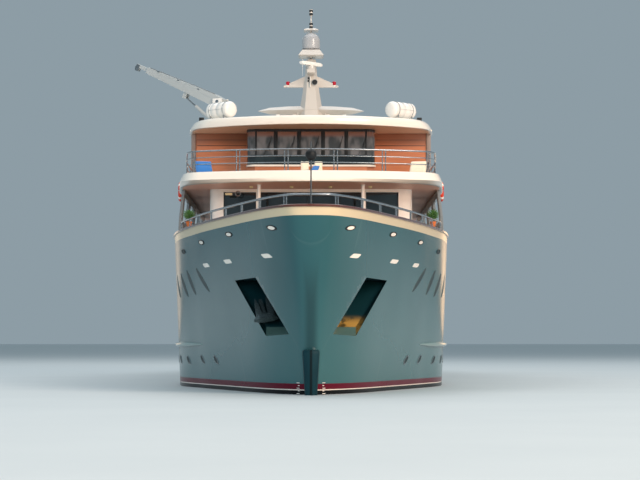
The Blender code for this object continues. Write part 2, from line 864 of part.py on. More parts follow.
def build_bitt(name, x, station, rise):
    """Double bollard: two posts on a plate."""
    y = at(station)
    low = rise + GAP
    bitt = box(name, (x - 0.08, x + 0.08), (y - 0.22, y + 0.22), (low, low + 0.02), GALVANISED)
    posts = []
    for end in (-1, 1):
        foot = (x, y + end * 0.13, low + 0.01)
        top = (x, y + end * 0.13, low + BITT_HEIGHT)
        posts.append(cylinder("post", foot, top, BITT_RADIUS, None, hidden=True, sides=12))
    return weld(bitt, *posts)


def build_hatch():
    """Foredeck hatch: coaming and a lid hinged along its aft edge."""
    y0 = at(HATCH_S)
    y1 = at(HATCH_S + HATCH_LENGTH)
    half = HATCH_WIDTH / 2
    rim = DECK_Z + COAMING_HEIGHT
    outline = [(half, y0), (half, y1), (-half, y1), (-half, y0)]
    coaming = shell("hatch_coaming", outline, COAMING_THICK, DECK_Z + GAP, rim, WHITE_PAINT)
    axis_y, axis_z = hatch_axis()
    lid_low = rim + PIN_GAP
    lid = box("hatch_lid", (-half - 0.02, half + 0.02), (y0 - 0.02, y1 + 0.004),
              (lid_low, lid_low + LID_THICK),
              WHITE_PAINT)
    lugs = []
    for x in (-0.2, 0.2):
        lugs.append(box("hinge_post", (x - 0.015, x + 0.015), (y1 - 0.01, axis_y + 0.015),
                        (rim - 0.05, axis_z + 0.015), None, hidden=True))
        pin = cylinder("hinge_pin", (x - 0.016, axis_y, axis_z), (x + 0.05, axis_y, axis_z),
                       PIN_RADIUS * 0.7, None, hidden=True, sides=PIN_SIDES)
        arm = box("hinge_arm", (x + 0.0155, x + 0.045), (y1 - 0.06, axis_y + 0.012),
                  (lid_low + 0.001, axis_z + 0.012), None, hidden=True)
        weld(lid, arm, pin)
    weld(coaming, *lugs)
    for x in (-0.2, 0.2):
        cut(coaming, cylinder("hinge_bore", (x - 0.03, axis_y, axis_z), (x + 0.03, axis_y, axis_z),
                              bore(PIN_RADIUS * 0.7), None, hidden=True, sides=PIN_SIDES))
    for x in (-0.2, 0.2):
        cut(lid, box("post_notch", (x - 0.015 - CLEAR, x + 0.0152), (y1 - 0.03, y1 + 0.05),
                     (lid_low - 0.01, lid_low + LID_THICK + 0.01), None, hidden=True))
    return coaming, lid


def hatch_axis():
    return at(HATCH_S + HATCH_LENGTH) + 0.03, DECK_Z + COAMING_HEIGHT + PIN_GAP + LID_THICK / 2


def build_jackstaff():
    """Staff at the stem with a round day shape, standing on the cap."""
    y = at(0.03)
    low = rim_z(0) + GAP * 2 + CAP_THICK
    staff = cylinder("jackstaff", (0, y, low), (0, y, STAFF_TOP_Z), STAFF_RADIUS, WHITE_PAINT, sides=8)
    bm = bmesh.new()
    bmesh.ops.create_uvsphere(bm, u_segments=16, v_segments=10, radius=BALL_RADIUS)
    bmesh.ops.translate(bm, verts=bm.verts, vec=(0, y, BALL_Z))
    return weld(staff, add_object("day_ball", bm, None, hidden=True))


def rail(name, route, levels, foot, posts, mat=STEEL):
    """A railing: bars along a route at some heights, and posts; one welded body."""
    first = bar(name, [(x, y, levels[-1]) for x, y in route], RAIL_RADIUS, mat, hidden=False)
    holder = bpy.data.collections.new(name + "_pieces")
    CUTTERS.children.link(holder)
    pieces = [bar("rail_bar", [(x, y, z) for x, y in route], RAIL_RADIUS * 0.7) for z in levels[:-1]]
    pieces += [flat_post(place, turn, foot, levels[-1]) for place, turn in posts]
    for piece in pieces:
        CUTTERS.objects.unlink(piece)
        holder.objects.link(piece)
    mod = first.modifiers.new("Posts", "BOOLEAN")
    mod.operation = "UNION"
    mod.solver = "EXACT"
    mod.operand_type = "COLLECTION"
    mod.collection = holder
    return first


def flat_post(place, turn, low, high):
    """A flat railing post across the route's direction."""
    post = box("rail_post", (-POST_WIDTH / 2, POST_WIDTH / 2), (-POST_THICK / 2, POST_THICK / 2), (low, high),
               None, hidden=True)
    return move(post, Matrix.Translation((place.x, place.y, 0)) @ Matrix.Rotation(turn, 4, "Z"))


def along(route, pitch, start):
    """Places and directions of posts along a plan route, at a pitch."""
    places = []
    travelled = 0.0
    target = start
    for here, there in zip(route, route[1:]):
        here, there = Vector(here), Vector(there)
        run = (there - here).length
        while target <= travelled + run:
            step = there - here
            places.append((here + step * ((target - travelled) / run), math.atan2(step.y, step.x)))
            target += pitch
        travelled += run
    return places


def mirror_posts(posts):
    return [(Vector((-place.x, place.y)), -turn) for place, turn in posts]


def build_bow_rail():
    """Low rail on the cap around the bow, following the sheer."""
    centre = [rim_point(s / TRANSOM_S)
              for s in (0.04, 0.12, 0.3, 0.6, 1.0, 1.6, 2.4, 3.3, 4.2, BOW_RAIL_END_S)]
    port = offset_route(centre, CAP_WIDTH / 2 - CAP_OVERHANG)
    cap_top = GAP + CAP_THICK
    path = [(p.x, p.y, p.z + cap_top + BOW_RAIL_HEIGHT) for p in port]
    full = [(-x, y, z) for x, y, z in reversed(path)] + path
    first = bar("bow_rail", full, RAIL_RADIUS * 1.4, STEEL, hidden=False, sides=6)
    holder = bpy.data.collections.new("bow_rail_pieces")
    CUTTERS.children.link(holder)
    for side in (1, -1):
        plan = [(p.x * side, p.y, p.z) for p in port]
        for place, turn in along(plan, BOW_POST_PITCH, BOW_POST_PITCH / 2):
            foot = place.z + cap_top
            post = flat_post(place, turn, foot + GAP * 2, foot + BOW_RAIL_HEIGHT)
            CUTTERS.objects.unlink(post)
            holder.objects.link(post)
    mod = first.modifiers.new("Posts", "BOOLEAN")
    mod.operation = "UNION"
    mod.solver = "EXACT"
    mod.operand_type = "COLLECTION"
    mod.collection = holder
    return first


# Hinged doors: a leaf in an opening, on pins above and below

def door(leaf_name, wall, x, y, z, hinge, along_x, mat):
    """Cuts an opening over the ranges x, y, z in a wall and hangs a leaf there.

    hinge is the end, 0 or 1, of the leaf's run that carries the pins.
    """
    cutter = box("door_opening", x, y, z, None, hidden=True)
    middle_x, middle_y = (x[0] + x[1]) / 2, (y[0] + y[1]) / 2
    run = x if along_x else y
    inward = 1 if hinge == 0 else -1
    axis = run[hinge] + inward * 0.027
    leaf_run = sorted((run[hinge] + inward * 0.012, run[1 - hinge] - inward * CLEAR))
    low, high = z[0] + CLEAR, z[1] - CLEAR
    if along_x:
        leaf = box(leaf_name, leaf_run, (middle_y - DOOR_THICK / 2, middle_y + DOOR_THICK / 2), (low, high),
                   mat)
        pin_at = (axis, middle_y)
    else:
        leaf = box(leaf_name, (middle_x - DOOR_THICK / 2, middle_x + DOOR_THICK / 2), leaf_run, (low, high),
                   mat)
        pin_at = (middle_x, axis)
    pin = cylinder("door_pin", (*pin_at, z[0] - 0.02), (*pin_at, z[1] + 0.02), PIN_RADIUS, None,
                   hidden=True, sides=PIN_SIDES)
    pin_bore = cylinder("door_bore", (*pin_at, z[0] - 0.022), (*pin_at, z[1] + 0.022), bore(PIN_RADIUS),
                        None, hidden=True, sides=PIN_SIDES)
    cut(wall, cutter, pin_bore)
    return weld(leaf, pin)


def window_cutter(x, y, z):
    return box("window_opening", x, y, z, None, hidden=True)


def side_windows(wall, half, first, last, count, low, high, post=0.16):
    """Cuts a row of windows on both sides of a house."""
    width = (last - first - post * (count - 1)) / count
    for k in range(count):
        start = first + k * (width + post)
        for side in (1, -1):
            reach = sorted((side * (half - WALL_THICK - CUT), side * (half + CUT)))
            cut(wall, window_cutter(reach, (at(start), at(start + width)), (low, high)))


def glazing(name, outline, low, high, wall):
    """A dark glass sheet behind the windows of one side or of a whole front."""
    outer = [Vector((x, y, 0)) for x, y in outline]
    back = offset_right(outer, wall + GAP)
    front = offset_right(outer, wall + GAP + GLASS_THICK)
    ring_list = [[(a.x, a.y, low), (a.x, a.y, high), (b.x, b.y, high), (b.x, b.y, low)]
                 for a, b in zip(back, front)]
    return rings(name, ring_list, DARK_GLASS)


def offset_right(points, distance):
    """A plan route moved to its right by a distance, mitred."""
    moved = []
    for k, here in enumerate(points):
        d1 = (here - points[k - 1]) if k else (points[1] - here)
        d2 = (points[k + 1] - here) if k < len(points) - 1 else d1
        n1 = Vector((-d1.y, d1.x, 0)).normalized()
        n2 = Vector((-d2.y, d2.x, 0)).normalized()
        moved.append(here - (n1 + n2) / max(1 + n1.dot(n2), 0.3) * distance)
    return moved


# Main deck

def build_saloon():
    """Saloon walls with windows, two aft doors, and the glass behind the openings."""
    outline = box_outline(SALOON_HALF, SALOON_FRONT_S, SALOON_AFT_S, CORNER_RADIUS)
    low, high = DECK_Z + GAP, CEILING_Z - GAP
    walls = shell("saloon_walls", outline, WALL_THICK, low, high, WHITE_PAINT)
    front = at(SALOON_FRONT_S)
    for x0, x1 in FRONT_PANES:
        cut(walls, window_cutter((x0, x1), (front - CUT, front + WALL_THICK + CUT),
                                 (SALOON_SILL_Z, SALOON_HEAD_Z)))
    side_windows(walls, SALOON_HALF, SALOON_FRONT_S + 0.5, SALOON_AFT_S - 0.4, SALOON_SIDE_WINDOWS,
                 SALOON_SILL_Z + 0.1, SALOON_HEAD_Z - 0.1)
    aft = at(SALOON_AFT_S)
    for side in (1, -1):
        reach = sorted((side * 0.70, side * 1.36))
        cut(walls, window_cutter(reach, (aft - WALL_THICK - CUT, aft + CUT),
                                 (SALOON_SILL_Z, SALOON_HEAD_Z - 0.1)))
    wall_y = (aft - WALL_THICK - 0.002, aft + 0.002)
    height = (DECK_Z + 0.05, 2.86)
    door("saloon_door_port", walls, (0.02, 0.50), wall_y, height, 1, True, WHITE_PAINT)
    door("saloon_door_starboard", walls, (-0.50, -0.02), wall_y, height, 0, True, WHITE_PAINT)
    half, y1 = SALOON_HALF, at(SALOON_AFT_S)
    arc = outline[:5]
    starboard = [(-x, y) for x, y in reversed(arc)]
    route = [(half, y1 - 0.3)] + arc[::-1] + starboard[::-1] + [(-half, y1 - 0.3)]
    glazing("saloon_glass", route, SALOON_SILL_Z - 0.06, SALOON_HEAD_Z + 0.02, WALL_THICK)
    return walls


def build_pillars():
    low, high = DECK_Z + GAP, CEILING_Z - GAP
    rows = (
        # name, station, x
        ("pillar_front", PILLAR_S, PILLAR_X),
        ("pillar_aft", AFT_PILLAR_S, AFT_PILLAR_X),
    )
    for name, station, x in rows:
        for side, word in ((1, "port"), (-1, "starboard")):
            cylinder(name + "_" + word, (side * x, at(station), low), (side * x, at(station), high),
                     PILLAR_RADIUS, WHITE_PAINT, sides=12)


def build_wing(side, name):
    """Side screen between the bulwark's cap and the upper deck's edge, with windows."""
    ends = (WING_FRONT_S, WING_FRONT_S + WING_LENGTH)
    top_z = rim_z(WING_FRONT_S) + CAP_THICK
    low = top_z + GAP * 3
    high = CEILING_Z - GAP
    front, back = (breadth(s, rim_z(s), 0.0) - 0.045 for s in ends)
    under = UPPER_HALF - 0.03
    levels = ((low, front, back, 0.10), (low + 0.30, front - 0.02, back - 0.02, 0.0),
              (high, under - 0.07, under, 0.25))
    ring_list = []
    for z, x0, x1, lean in levels:
        y0, y1 = at(ends[0]) + lean * 0.5, at(ends[1]) + lean
        ring_list.append([(side * x0, y0, z), (side * x1, y1, z), (side * (x1 - WING_THICK), y1, z),
                          (side * (x0 - WING_THICK), y0, z)])
    wing = rings(name, ring_list, WHITE_PAINT)
    pitch = WING_LENGTH / WING_WINDOWS
    holes = []
    for k in range(WING_WINDOWS):
        y0 = at(WING_FRONT_S) + pitch * k + 0.35
        holes.append(box("wing_window", sorted((side * (under - 0.4), side * (under + 0.4))),
                         (y0, y0 + pitch - 0.45),
                         (low + 0.24, high - 0.11), None, hidden=True))
    cut(wing, *holes)
    return wing


# Upper deck and house

def build_upper_deck():
    """Deck slab with a raised, sloping edge."""
    outline = nose_outline(UPPER_HALF, UPPER_FRONT_S, UPPER_SAG, UPPER_CORNER, UPPER_AFT_S)
    top_outer = inset(outline, EDGE_SLOPE)
    top_inner = inset(outline, EDGE_SLOPE + EDGE_WIDTH)
    ring_list = [lift(inset(outline, 0.02), CEILING_Z), lift(outline, CEILING_Z + 0.02),
                 lift(inset(outline, 0.02), CEILING_Z + 0.08), lift(top_outer, EDGE_TOP_Z),
                 lift(top_inner, EDGE_TOP_Z), lift(top_inner, FLOOR_Z)]
    return rings("upper_deck", ring_list, WHITE_PAINT)


def upper_rail_route():
    outline = nose_outline(UPPER_HALF, UPPER_FRONT_S, UPPER_SAG, UPPER_CORNER, UPPER_AFT_S)
    line = inset(outline, EDGE_SLOPE + EDGE_WIDTH / 2)
    half = (len(line) + 1) // 2
    port = line[:half]
    return port


def build_upper_rails():
    port = upper_rail_route()
    forward = [p for p in port if p[1] < at(RAIL_END_S)]
    side_x = forward[-1][0]
    forward.append((side_x, at(RAIL_END_S)))
    route = [(-x, y) for x, y in reversed(forward[1:])] + forward
    posts = along(forward, POST_PITCH, POST_PITCH / 2)
    posts += mirror_posts(posts)
    foot = EDGE_TOP_Z + GAP
    rail("upper_rail", route, RAIL_LEVELS, foot, posts)
    aft_start = CABIN_AFT_S + 0.12
    aft = at(UPPER_AFT_S) - EDGE_SLOPE - EDGE_WIDTH / 2
    gap = STAIR_HALF + 0.06
    for side, word in ((1, "port"), (-1, "starboard")):
        x = side * side_x
        route = [(x, at(aft_start)), (x, aft), (side * gap, aft)]
        posts = along(route, POST_PITCH * 1.3, POST_WIDTH)
        rail("aft_rail_" + word, route, RAIL_LEVELS, foot, posts)


def house_outline():
    """Plan of the upper house: narrow bridge in front, wide cabins behind."""
    c = BRIDGE_CORNER
    points = [(BRIDGE_HALF - c, BRIDGE_FRONT_S), (BRIDGE_HALF, BRIDGE_FRONT_S + c),
              (BRIDGE_HALF, CABIN_FRONT_S),
              (CABIN_HALF, CABIN_FRONT_S), (CABIN_HALF, CABIN_AFT_S)]
    port = [(x, at(s)) for x, s in points]
    return port + mirrored(port)


def build_house():
    """Upper house with the bridge windows, cabin windows and its doors."""
    outline = house_outline()
    low, high = FLOOR_Z + GAP, ROOF_UNDER_Z - GAP
    walls = shell("upper_house", outline, WALL_THICK, low, high, WALL_PAINT)
    front = at(BRIDGE_FRONT_S)
    for x0, x1 in BRIDGE_PANES:
        cut(walls, window_cutter((x0, x1), (front - CUT, front + WALL_THICK + CUT),
                                 (BRIDGE_SILL_Z, BRIDGE_HEAD_Z)))
    side_windows(walls, CABIN_HALF, CABIN_FRONT_S + 0.6, CABIN_AFT_S - 0.4, CABIN_SIDE_WINDOWS,
                 CABIN_SILL_Z, CABIN_HEAD_Z)
    height = (FLOOR_Z + 0.05, ROOF_UNDER_Z - 0.10)
    run = (at(BRIDGE_FRONT_S + 0.22), at(BRIDGE_FRONT_S + 0.60))
    for side, word in ((1, "port"), (-1, "starboard")):
        reach = sorted((side * (BRIDGE_HALF - WALL_THICK - 0.002), side * (BRIDGE_HALF + 0.002)))
        door("bridge_door_" + word, walls, reach, run, height, 0, False, WHITE_PAINT)
    aft = at(CABIN_AFT_S)
    door("sun_deck_door", walls, (-0.24, 0.24), (aft - WALL_THICK - 0.002, aft + 0.002), height, 0, True,
         WHITE_PAINT)
    c = BRIDGE_CORNER
    y0 = at(BRIDGE_FRONT_S)
    bridge = [(BRIDGE_HALF, y0 + c + 0.05), (BRIDGE_HALF, y0 + c), (BRIDGE_HALF - c, y0),
              (-BRIDGE_HALF + c, y0), (-BRIDGE_HALF, y0 + c), (-BRIDGE_HALF, y0 + c + 0.05)]
    glazing("bridge_glass", bridge, BRIDGE_SILL_Z - 0.05, BRIDGE_HEAD_Z + 0.02, WALL_THICK)
    cabin_y = (at(CABIN_FRONT_S + 0.5), at(CABIN_AFT_S - 0.3))
    port = [(CABIN_HALF, cabin_y[1]), (CABIN_HALF, cabin_y[0])]
    glazing("cabin_glass_port", port, CABIN_SILL_Z - 0.05, CABIN_HEAD_Z + 0.05, WALL_THICK)
    starboard = [(-CABIN_HALF, cabin_y[0]), (-CABIN_HALF, cabin_y[1])]
    glazing("cabin_glass_starboard", starboard, CABIN_SILL_Z - 0.05, CABIN_HEAD_Z + 0.05, WALL_THICK)
    return walls


def build_roof():
    outline = nose_outline(ROOF_HALF, ROOF_FRONT_S, ROOF_SAG, ROOF_CORNER, ROOF_AFT_S)
    ring_list = [lift(inset(outline, 0.07), ROOF_UNDER_Z), lift(outline, ROOF_UNDER_Z + 0.03),
                 lift(outline, ROOF_EDGE_Z - 0.02), lift(inset(outline, 0.05), ROOF_EDGE_Z + 0.015),
                 lift(inset(outline, 0.20), ROOF_TOP_Z)]
    return rings("roof", ring_list, WHITE_PAINT)


def build_lounger(name, side, mat):
    """Sun lounger on the upper foredeck with its back raised, its foot turned inboard."""
    low = FLOOR_Z + GAP
    lounger = box(name, (-0.15, 0.15), (0.0, 0.62), (low, low + 0.12), mat)
    back = rings("back", [[(x, 0.50, low + 0.04), (x, 0.60, low + 0.04), (x, 0.82, low + 0.41),
                           (x, 0.75, low + 0.43)]
                          for x in (-0.15, 0.15)], None, hidden=True)
    turn = (Matrix.Translation((side * (UPPER_HALF - LOUNGER_INSET), at(LOUNGER_S), 0))
            @ Matrix.Rotation(math.radians(-side * LOUNGER_TURN), 4, "Z"))
    return weld(move(lounger, turn), move(back, turn))


def build_mast():
    """Mast with its foot wing, crosstrees and platforms."""
    y = at(MAST_S)
    low = ROOF_TOP_Z + GAP
    sections = (
        # height, half width, half length
        (low, 0.26, 0.30),
        (4.95, 0.19, 0.22),
        (TREE_Z - 0.1, MAST_HALF_X, 0.17),
        (TREE_TOP_Z, 0.11, 0.12),
        (PLATFORM_Z - 0.03, 0.085, 0.09),
    )
    ring_list = []
    for z, a, b in sections:
        plan = [(a * 0.55, -b), (a, -b * 0.4), (a, b), (-a, b), (-a, -b * 0.4), (-a * 0.55, -b)]
        ring_list.append([(px, y + py, z) for px, py in plan])
    mast = rings("mast", ring_list, WHITE_PAINT)
    wing = []
    for k in range(7):
        share = -1 + k / 3
        x = WING_SPAN * math.copysign(1 - (1 - abs(share)) ** 1.4, share) if share else 0.0
        size = max(0.04, math.sqrt(1 - min(abs(x) / WING_SPAN, 1) ** 2.2))
        t, c = MAST_WING_THICK / 2 * size, 0.24 * size
        wing.append([(x, y - c, MAST_WING_Z), (x, y - c * 0.4, MAST_WING_Z + t),
                     (x, y + c * 0.6, MAST_WING_Z + t * 0.8),
                     (x, y + c, MAST_WING_Z), (x, y + c * 0.6, MAST_WING_Z - t),
                     (x, y - c * 0.4, MAST_WING_Z - t)])
    pieces = [rings("foot_wing", wing, None, hidden=True)]
    tree = [(TREE_SPAN, TREE_Z), (TREE_SPAN, TREE_Z + 0.025), (0.12, TREE_TOP_Z), (-0.12, TREE_TOP_Z),
            (-TREE_SPAN, TREE_Z + 0.025), (-TREE_SPAN, TREE_Z)]
    pieces.append(rings("crosstree", [[(x, y + d, z) for x, z in tree] for d in (-0.045, 0.045)], None,
                        hidden=True))
    pieces.append(box("radar_shelf", (-0.07, 0.07), (y - RADAR_OUT - 0.08, y),
                      (RADAR_Z - 0.16, RADAR_Z - 0.10), None, hidden=True))
    pieces.append(cylinder("radar_gearbox", (0, y - RADAR_OUT, RADAR_Z - 0.12),
                           (0, y - RADAR_OUT, RADAR_Z - 0.045),
                           0.07, None, hidden=True))
    platform = [
        [(sx * a, y - 0.10 + sy * a, z) for sx, sy in ((1, -1), (1, 1), (-1, 1), (-1, -1))]
        for z, a in ((PLATFORM_Z, 0.19), (PLATFORM_Z + 0.02, 0.227), (PLATFORM_TOP_Z, 0.155))]
    pieces.append(rings("dome_platform", platform, None, hidden=True))
    pieces.append(box("back_post", (-0.02, 0.02), (y + 0.085, y + 0.125),
                      (PLATFORM_Z - 0.3, UPPER_PLATFORM_Z + 0.03), None, hidden=True))
    pieces.append(box("back_bracket", (-0.018, 0.018), (y + 0.05, y + 0.12),
                      (PLATFORM_Z + 0.02, PLATFORM_Z + 0.08), None, hidden=True))
    upper = [[(-a, y - b, z), (a, y - b, z), (a, y + 0.13, z), (-a, y + 0.13, z)]
             for z, a, b in ((UPPER_PLATFORM_Z, 0.13, 0.16), (UPPER_PLATFORM_Z + 0.015, 0.13, 0.16),
                             (UPPER_PLATFORM_Z + 0.045, 0.07, 0.11))]
    pieces.append(rings("upper_platform", upper, None, hidden=True))
    pieces.append(cylinder("lamp", (0, y - 0.05, UPPER_PLATFORM_Z + 0.04),
                           (0, y - 0.05, UPPER_PLATFORM_Z + 0.15),
                           0.03, None, hidden=True, sides=10))
    pieces.append(cylinder("masthead_pole", (0, y - 0.05, UPPER_PLATFORM_Z + 0.04),
                           (0, y - 0.05, MASTHEAD_Z - 0.05),
                           0.011, None, hidden=True, sides=8))
    pieces.append(cylinder("masthead_lamp", (0, y - 0.05, MASTHEAD_Z - 0.11), (0, y - 0.05, MASTHEAD_Z),
                           0.032, None, hidden=True, sides=10))
    return weld(mast, *pieces)


def build_radar():
    """Open-array scanner that turns on its gearbox."""
    y = at(MAST_S) - RADAR_OUT
    low = RADAR_Z - 0.045 + PIN_GAP
    scanner = cylinder("radar_scanner", (0, y, low), (0, y, RADAR_Z - 0.01), 0.04, WHITE_PAINT, sides=12)
    array = box("array", (-RADAR_LENGTH / 2, RADAR_LENGTH / 2), (-0.045, 0.045), (-0.03, 0.04), None,
                hidden=True)
    turn = Matrix.Translation((0, y, RADAR_Z)) @ Matrix.Rotation(math.radians(RADAR_TURN), 4, "Z")
    return weld(scanner, move(array, turn))


def build_dome():
    """Satellite dome: short cylinder under a round top."""
    y = at(MAST_S) - 0.10
    low = PLATFORM_TOP_Z + GAP
    straight = DOME_HEIGHT - DOME_RADIUS
    profile = [(0.13, 0.0), (DOME_RADIUS, 0.03), (DOME_RADIUS, straight)]
    profile += [(DOME_RADIUS * math.cos(a), straight + (DOME_RADIUS - 0.02) * math.sin(a))
                for a in (math.radians(30), math.radians(60), math.radians(82))]
    ring_list = [[(r * math.cos(2 * math.pi * k / 16), y + r * math.sin(2 * math.pi * k / 16), low + z)
                  for k in range(16)] for r, z in profile]
    return rings("satellite_dome", ring_list, WHITE_PAINT, smooth=40)


def build_raft(side, name):
    """Life-raft canister in its cradle, standing on the roof."""
    turn = (Matrix.Translation((side * RAFT_X, at(RAFT_S), 0))
            @ Matrix.Rotation(math.radians(-side * RAFT_TURN), 4, "Z"))
    half = RAFT_LENGTH / 2
    steps = ((-half, 0.72), (-half + 0.04, 1.0), (half - 0.04, 1.0), (half, 0.72))
    ring_list = []
    for y, share in steps:
        r = RAFT_RADIUS * share
        ring_list.append([(r * math.sin(2 * math.pi * k / 16), y, RAFT_Z + r * math.cos(2 * math.pi * k / 16))
                          for k in range(16)])
    raft = move(rings(name, ring_list, WHITE_PAINT, smooth=40), turn)
    low = ROOF_TOP_Z + GAP
    pieces = []
    for y in (-0.17, 0.17):
        pieces.append(move(box("cradle", (-0.13, 0.13), (y - 0.02, y + 0.02), (low, RAFT_Z - 0.06), None,
                               hidden=True),
                           turn))
    return weld(raft, *pieces)


# Crane

def crane_frame(turn_lift):
    """Frame at the boom's pivot: x along the boom, y across, z up, optionally lifted."""
    heading = math.radians(CRANE_HEADING)
    out = Vector((-math.sin(heading), math.cos(heading), 0))
    across = Vector((0, 0, 1)).cross(out)
    frame = Matrix((out, across, Vector((0, 0, 1)))).transposed().to_4x4()
    frame.translation = (CRANE_X, at(CRANE_S), CRANE_PIVOT_Z)
    if turn_lift:
        frame = frame @ Matrix.Rotation(math.radians(-CRANE_LIFT), 4, "Y")
    return frame


def ram_ends():
    """Foot pin and rod eye of the luffing ram, in the unlifted frame."""
    foot = Vector((RAM_FOOT_OUT, 0, -RAM_FOOT_DROP))
    lift_turn = Matrix.Rotation(math.radians(-CRANE_LIFT), 4, "Y")
    eye = lift_turn @ Vector((RAM_EYE_OUT, 0, -BOOM_ROOT_DEPTH * BOOM_BELOW - RAM_EYE_DROP))
    return foot, eye


def build_crane():
    level = crane_frame(False)
    lifted = crane_frame(True)
    x, y = CRANE_X, at(CRANE_S)
    base = cylinder("crane_base", (x, y, ROOF_TOP_Z + GAP), (x, y, CRANE_BASE_TOP_Z), 0.15, CRANE_PAINT,
                    sides=16)
    weld(base, cylinder("base_flange", (x, y, ROOF_TOP_Z + GAP), (x, y, ROOF_TOP_Z + 0.03), 0.21, None,
                        hidden=True, sides=16))
    drop = CRANE_PIVOT_Z - CRANE_BASE_TOP_Z - PIN_GAP
    column = cylinder("crane_column", (0, 0, -drop), (0, 0, -0.16), 0.125, CRANE_PAINT, sides=16)
    cheeks = []
    for side in (1, -1):
        cheeks.append(box("cheek", (-0.10, 0.10), sorted((side * 0.095, side * 0.12)), (-0.24, 0.06), None,
                          hidden=True))
        cheeks.append(box("ram_lug", (0.05, RAM_FOOT_OUT + 0.04), sorted((side * 0.045, side * 0.07)),
                          (-RAM_FOOT_DROP - 0.04, -RAM_FOOT_DROP + 0.04), None, hidden=True))
    weld(column, *cheeks)
    cut(column,
        cylinder("pivot_bore", (0, -0.2, 0), (0, 0.2, 0), bore(0.03), None, hidden=True, sides=PIN_SIDES),
        cylinder("foot_bore", (RAM_FOOT_OUT, -0.08, -RAM_FOOT_DROP), (RAM_FOOT_OUT, 0.08, -RAM_FOOT_DROP),
                 bore(0.016), None, hidden=True, sides=PIN_SIDES))
    for obj in [column] + [mod.object for mod in column.modifiers]:
        move(obj, level)
    build_boom(lifted)
    build_ram(level)


def boom_section(x, depth, half):
    low, high = -depth * BOOM_BELOW, depth * (1 - BOOM_BELOW)
    return [(x, -half, low), (x, half, low), (x, half, high), (x, -half, high)]


def build_boom(lifted):
    half = BOOM_WIDTH / 2
    boom = rings("crane_boom", [boom_section(-0.09, BOOM_ROOT_DEPTH * 0.8, half),
                                boom_section(0.12, BOOM_ROOT_DEPTH, half),
                                boom_section(BOOM_LENGTH, BOOM_TIP_DEPTH, half * 0.8)], CRANE_PAINT)
    eye = (RAM_EYE_OUT, -BOOM_ROOT_DEPTH * BOOM_BELOW - RAM_EYE_DROP)
    pieces = [cylinder("boom_pin", (0, -0.125, 0), (0, 0.125, 0), 0.03, None, hidden=True, sides=PIN_SIDES)]
    for side in (1, -1):
        pieces.append(box("eye_lug", (eye[0] - 0.04, eye[0] + 0.04), sorted((side * 0.035, side * 0.055)),
                          (eye[1] - 0.03, eye[1] + 0.13), None, hidden=True))
    weld(boom, *pieces)
    slot = JIB_SIDE / 2 + PIN_GAP
    cut(boom, box("boom_bore", (JIB_REACH - JIB_LENGTH - BORE_SPARE, BOOM_LENGTH + CUT), (-slot, slot),
                  (-slot, slot), None, hidden=True))
    side = JIB_SIDE / 2
    jib = box("crane_jib", (JIB_REACH - JIB_LENGTH, JIB_REACH), (-side, side), (-side, side), CRANE_PAINT)
    head = cylinder("sheave", (JIB_REACH - 0.03, -0.02, -0.045), (JIB_REACH - 0.03, 0.02, -0.045), 0.05, None,
                    hidden=True, sides=16)
    weld(jib, head)
    for obj in [boom, jib] + [m.object for m in boom.modifiers] + [m.object for m in jib.modifiers]:
        move(obj, lifted)


def build_ram(level):
    """Luffing ram: cylinder on the column's lugs, rod towards the boom's lug."""
    foot, eye = ram_ends()
    along_ram = (eye - foot).normalized()
    length = (eye - foot).length
    turn = Vector((1, 0, 0)).rotation_difference(along_ram).to_matrix().to_4x4()
    frame = level @ Matrix.Translation(foot) @ turn
    barrel_end = length * 0.62
    barrel = cylinder("ram_cylinder", (0.0, 0, 0), (barrel_end, 0, 0), RAM_RADIUS, CRANE_PAINT,
                      sides=PIN_SIDES)
    pin = cylinder("ram_pin", (0, -0.068, 0), (0, 0.068, 0), 0.016, None, hidden=True, sides=PIN_SIDES)
    weld(barrel, pin)
    cut(barrel, cylinder("ram_bore", (0.06, 0, 0), (barrel_end + 0.1, 0, 0), bore(ROD_RADIUS), None,
                         hidden=True, sides=PIN_SIDES))
    rod = cylinder("ram_rod", (ROD_START, 0, 0), (length - 0.02, 0, 0), ROD_RADIUS, STEEL, sides=PIN_SIDES)
    weld(rod, cylinder("rod_eye", (length, -0.028, 0), (length, 0.028, 0), 0.028, None, hidden=True,
                       sides=PIN_SIDES))
    for obj in [barrel, rod] + [m.object for m in barrel.modifiers] + [m.object for m in rod.modifiers]:
        move(obj, frame)


# Stern and running gear

def build_swim_platform():
    """Bathing platform on the transom."""
    y0 = at(TRANSOM_S) + GAP
    y1 = LENGTH / 2
    z0 = SWIM_Z - SWIM_THICK
    half = PLATFORM_HALF
    plan = [(half, y0), (half, y1 - 0.2), (half - 0.2, y1), (-half + 0.2, y1), (-half, y1 - 0.2), (-half, y0)]
    return rings("swim_platform", [lift(plan, z0), lift(plan, SWIM_Z)], TEAK)


def build_stairs():
    """Open stair from the aft deck to the upper deck."""
    y_top, y_foot = at(STAIR_TOP_S), at(STAIR_FOOT_S)
    low, high = DECK_Z + GAP, FLOOR_Z
    half = STAIR_HALF
    slope = (high - low) / (y_foot - y_top)
    edge = [(y_foot + 0.10, low), (y_foot + 0.10 - 0.12, low), (y_top, high - 0.10), (y_top, high),
            (y_top + 0.03, high)]
    stairs = rings("stairs_aft", [[(x, y, z) for y, z in edge] for x in (half, half + 0.03)], WHITE_PAINT)
    pieces = [rings("stringer", [[(x, y, z) for y, z in edge] for x in (-half - 0.03, -half)], None,
                    hidden=True)]
    for k in range(STAIR_STEPS):
        z = low + (high - low) * (k + 0.7) / STAIR_STEPS
        y = y_foot - (z - low) / slope
        pieces.append(box("step", (-half - 0.01, half + 0.01), (y - 0.07, y + 0.06), (z - 0.025, z), None,
                          hidden=True))
    return weld(stairs, *pieces)


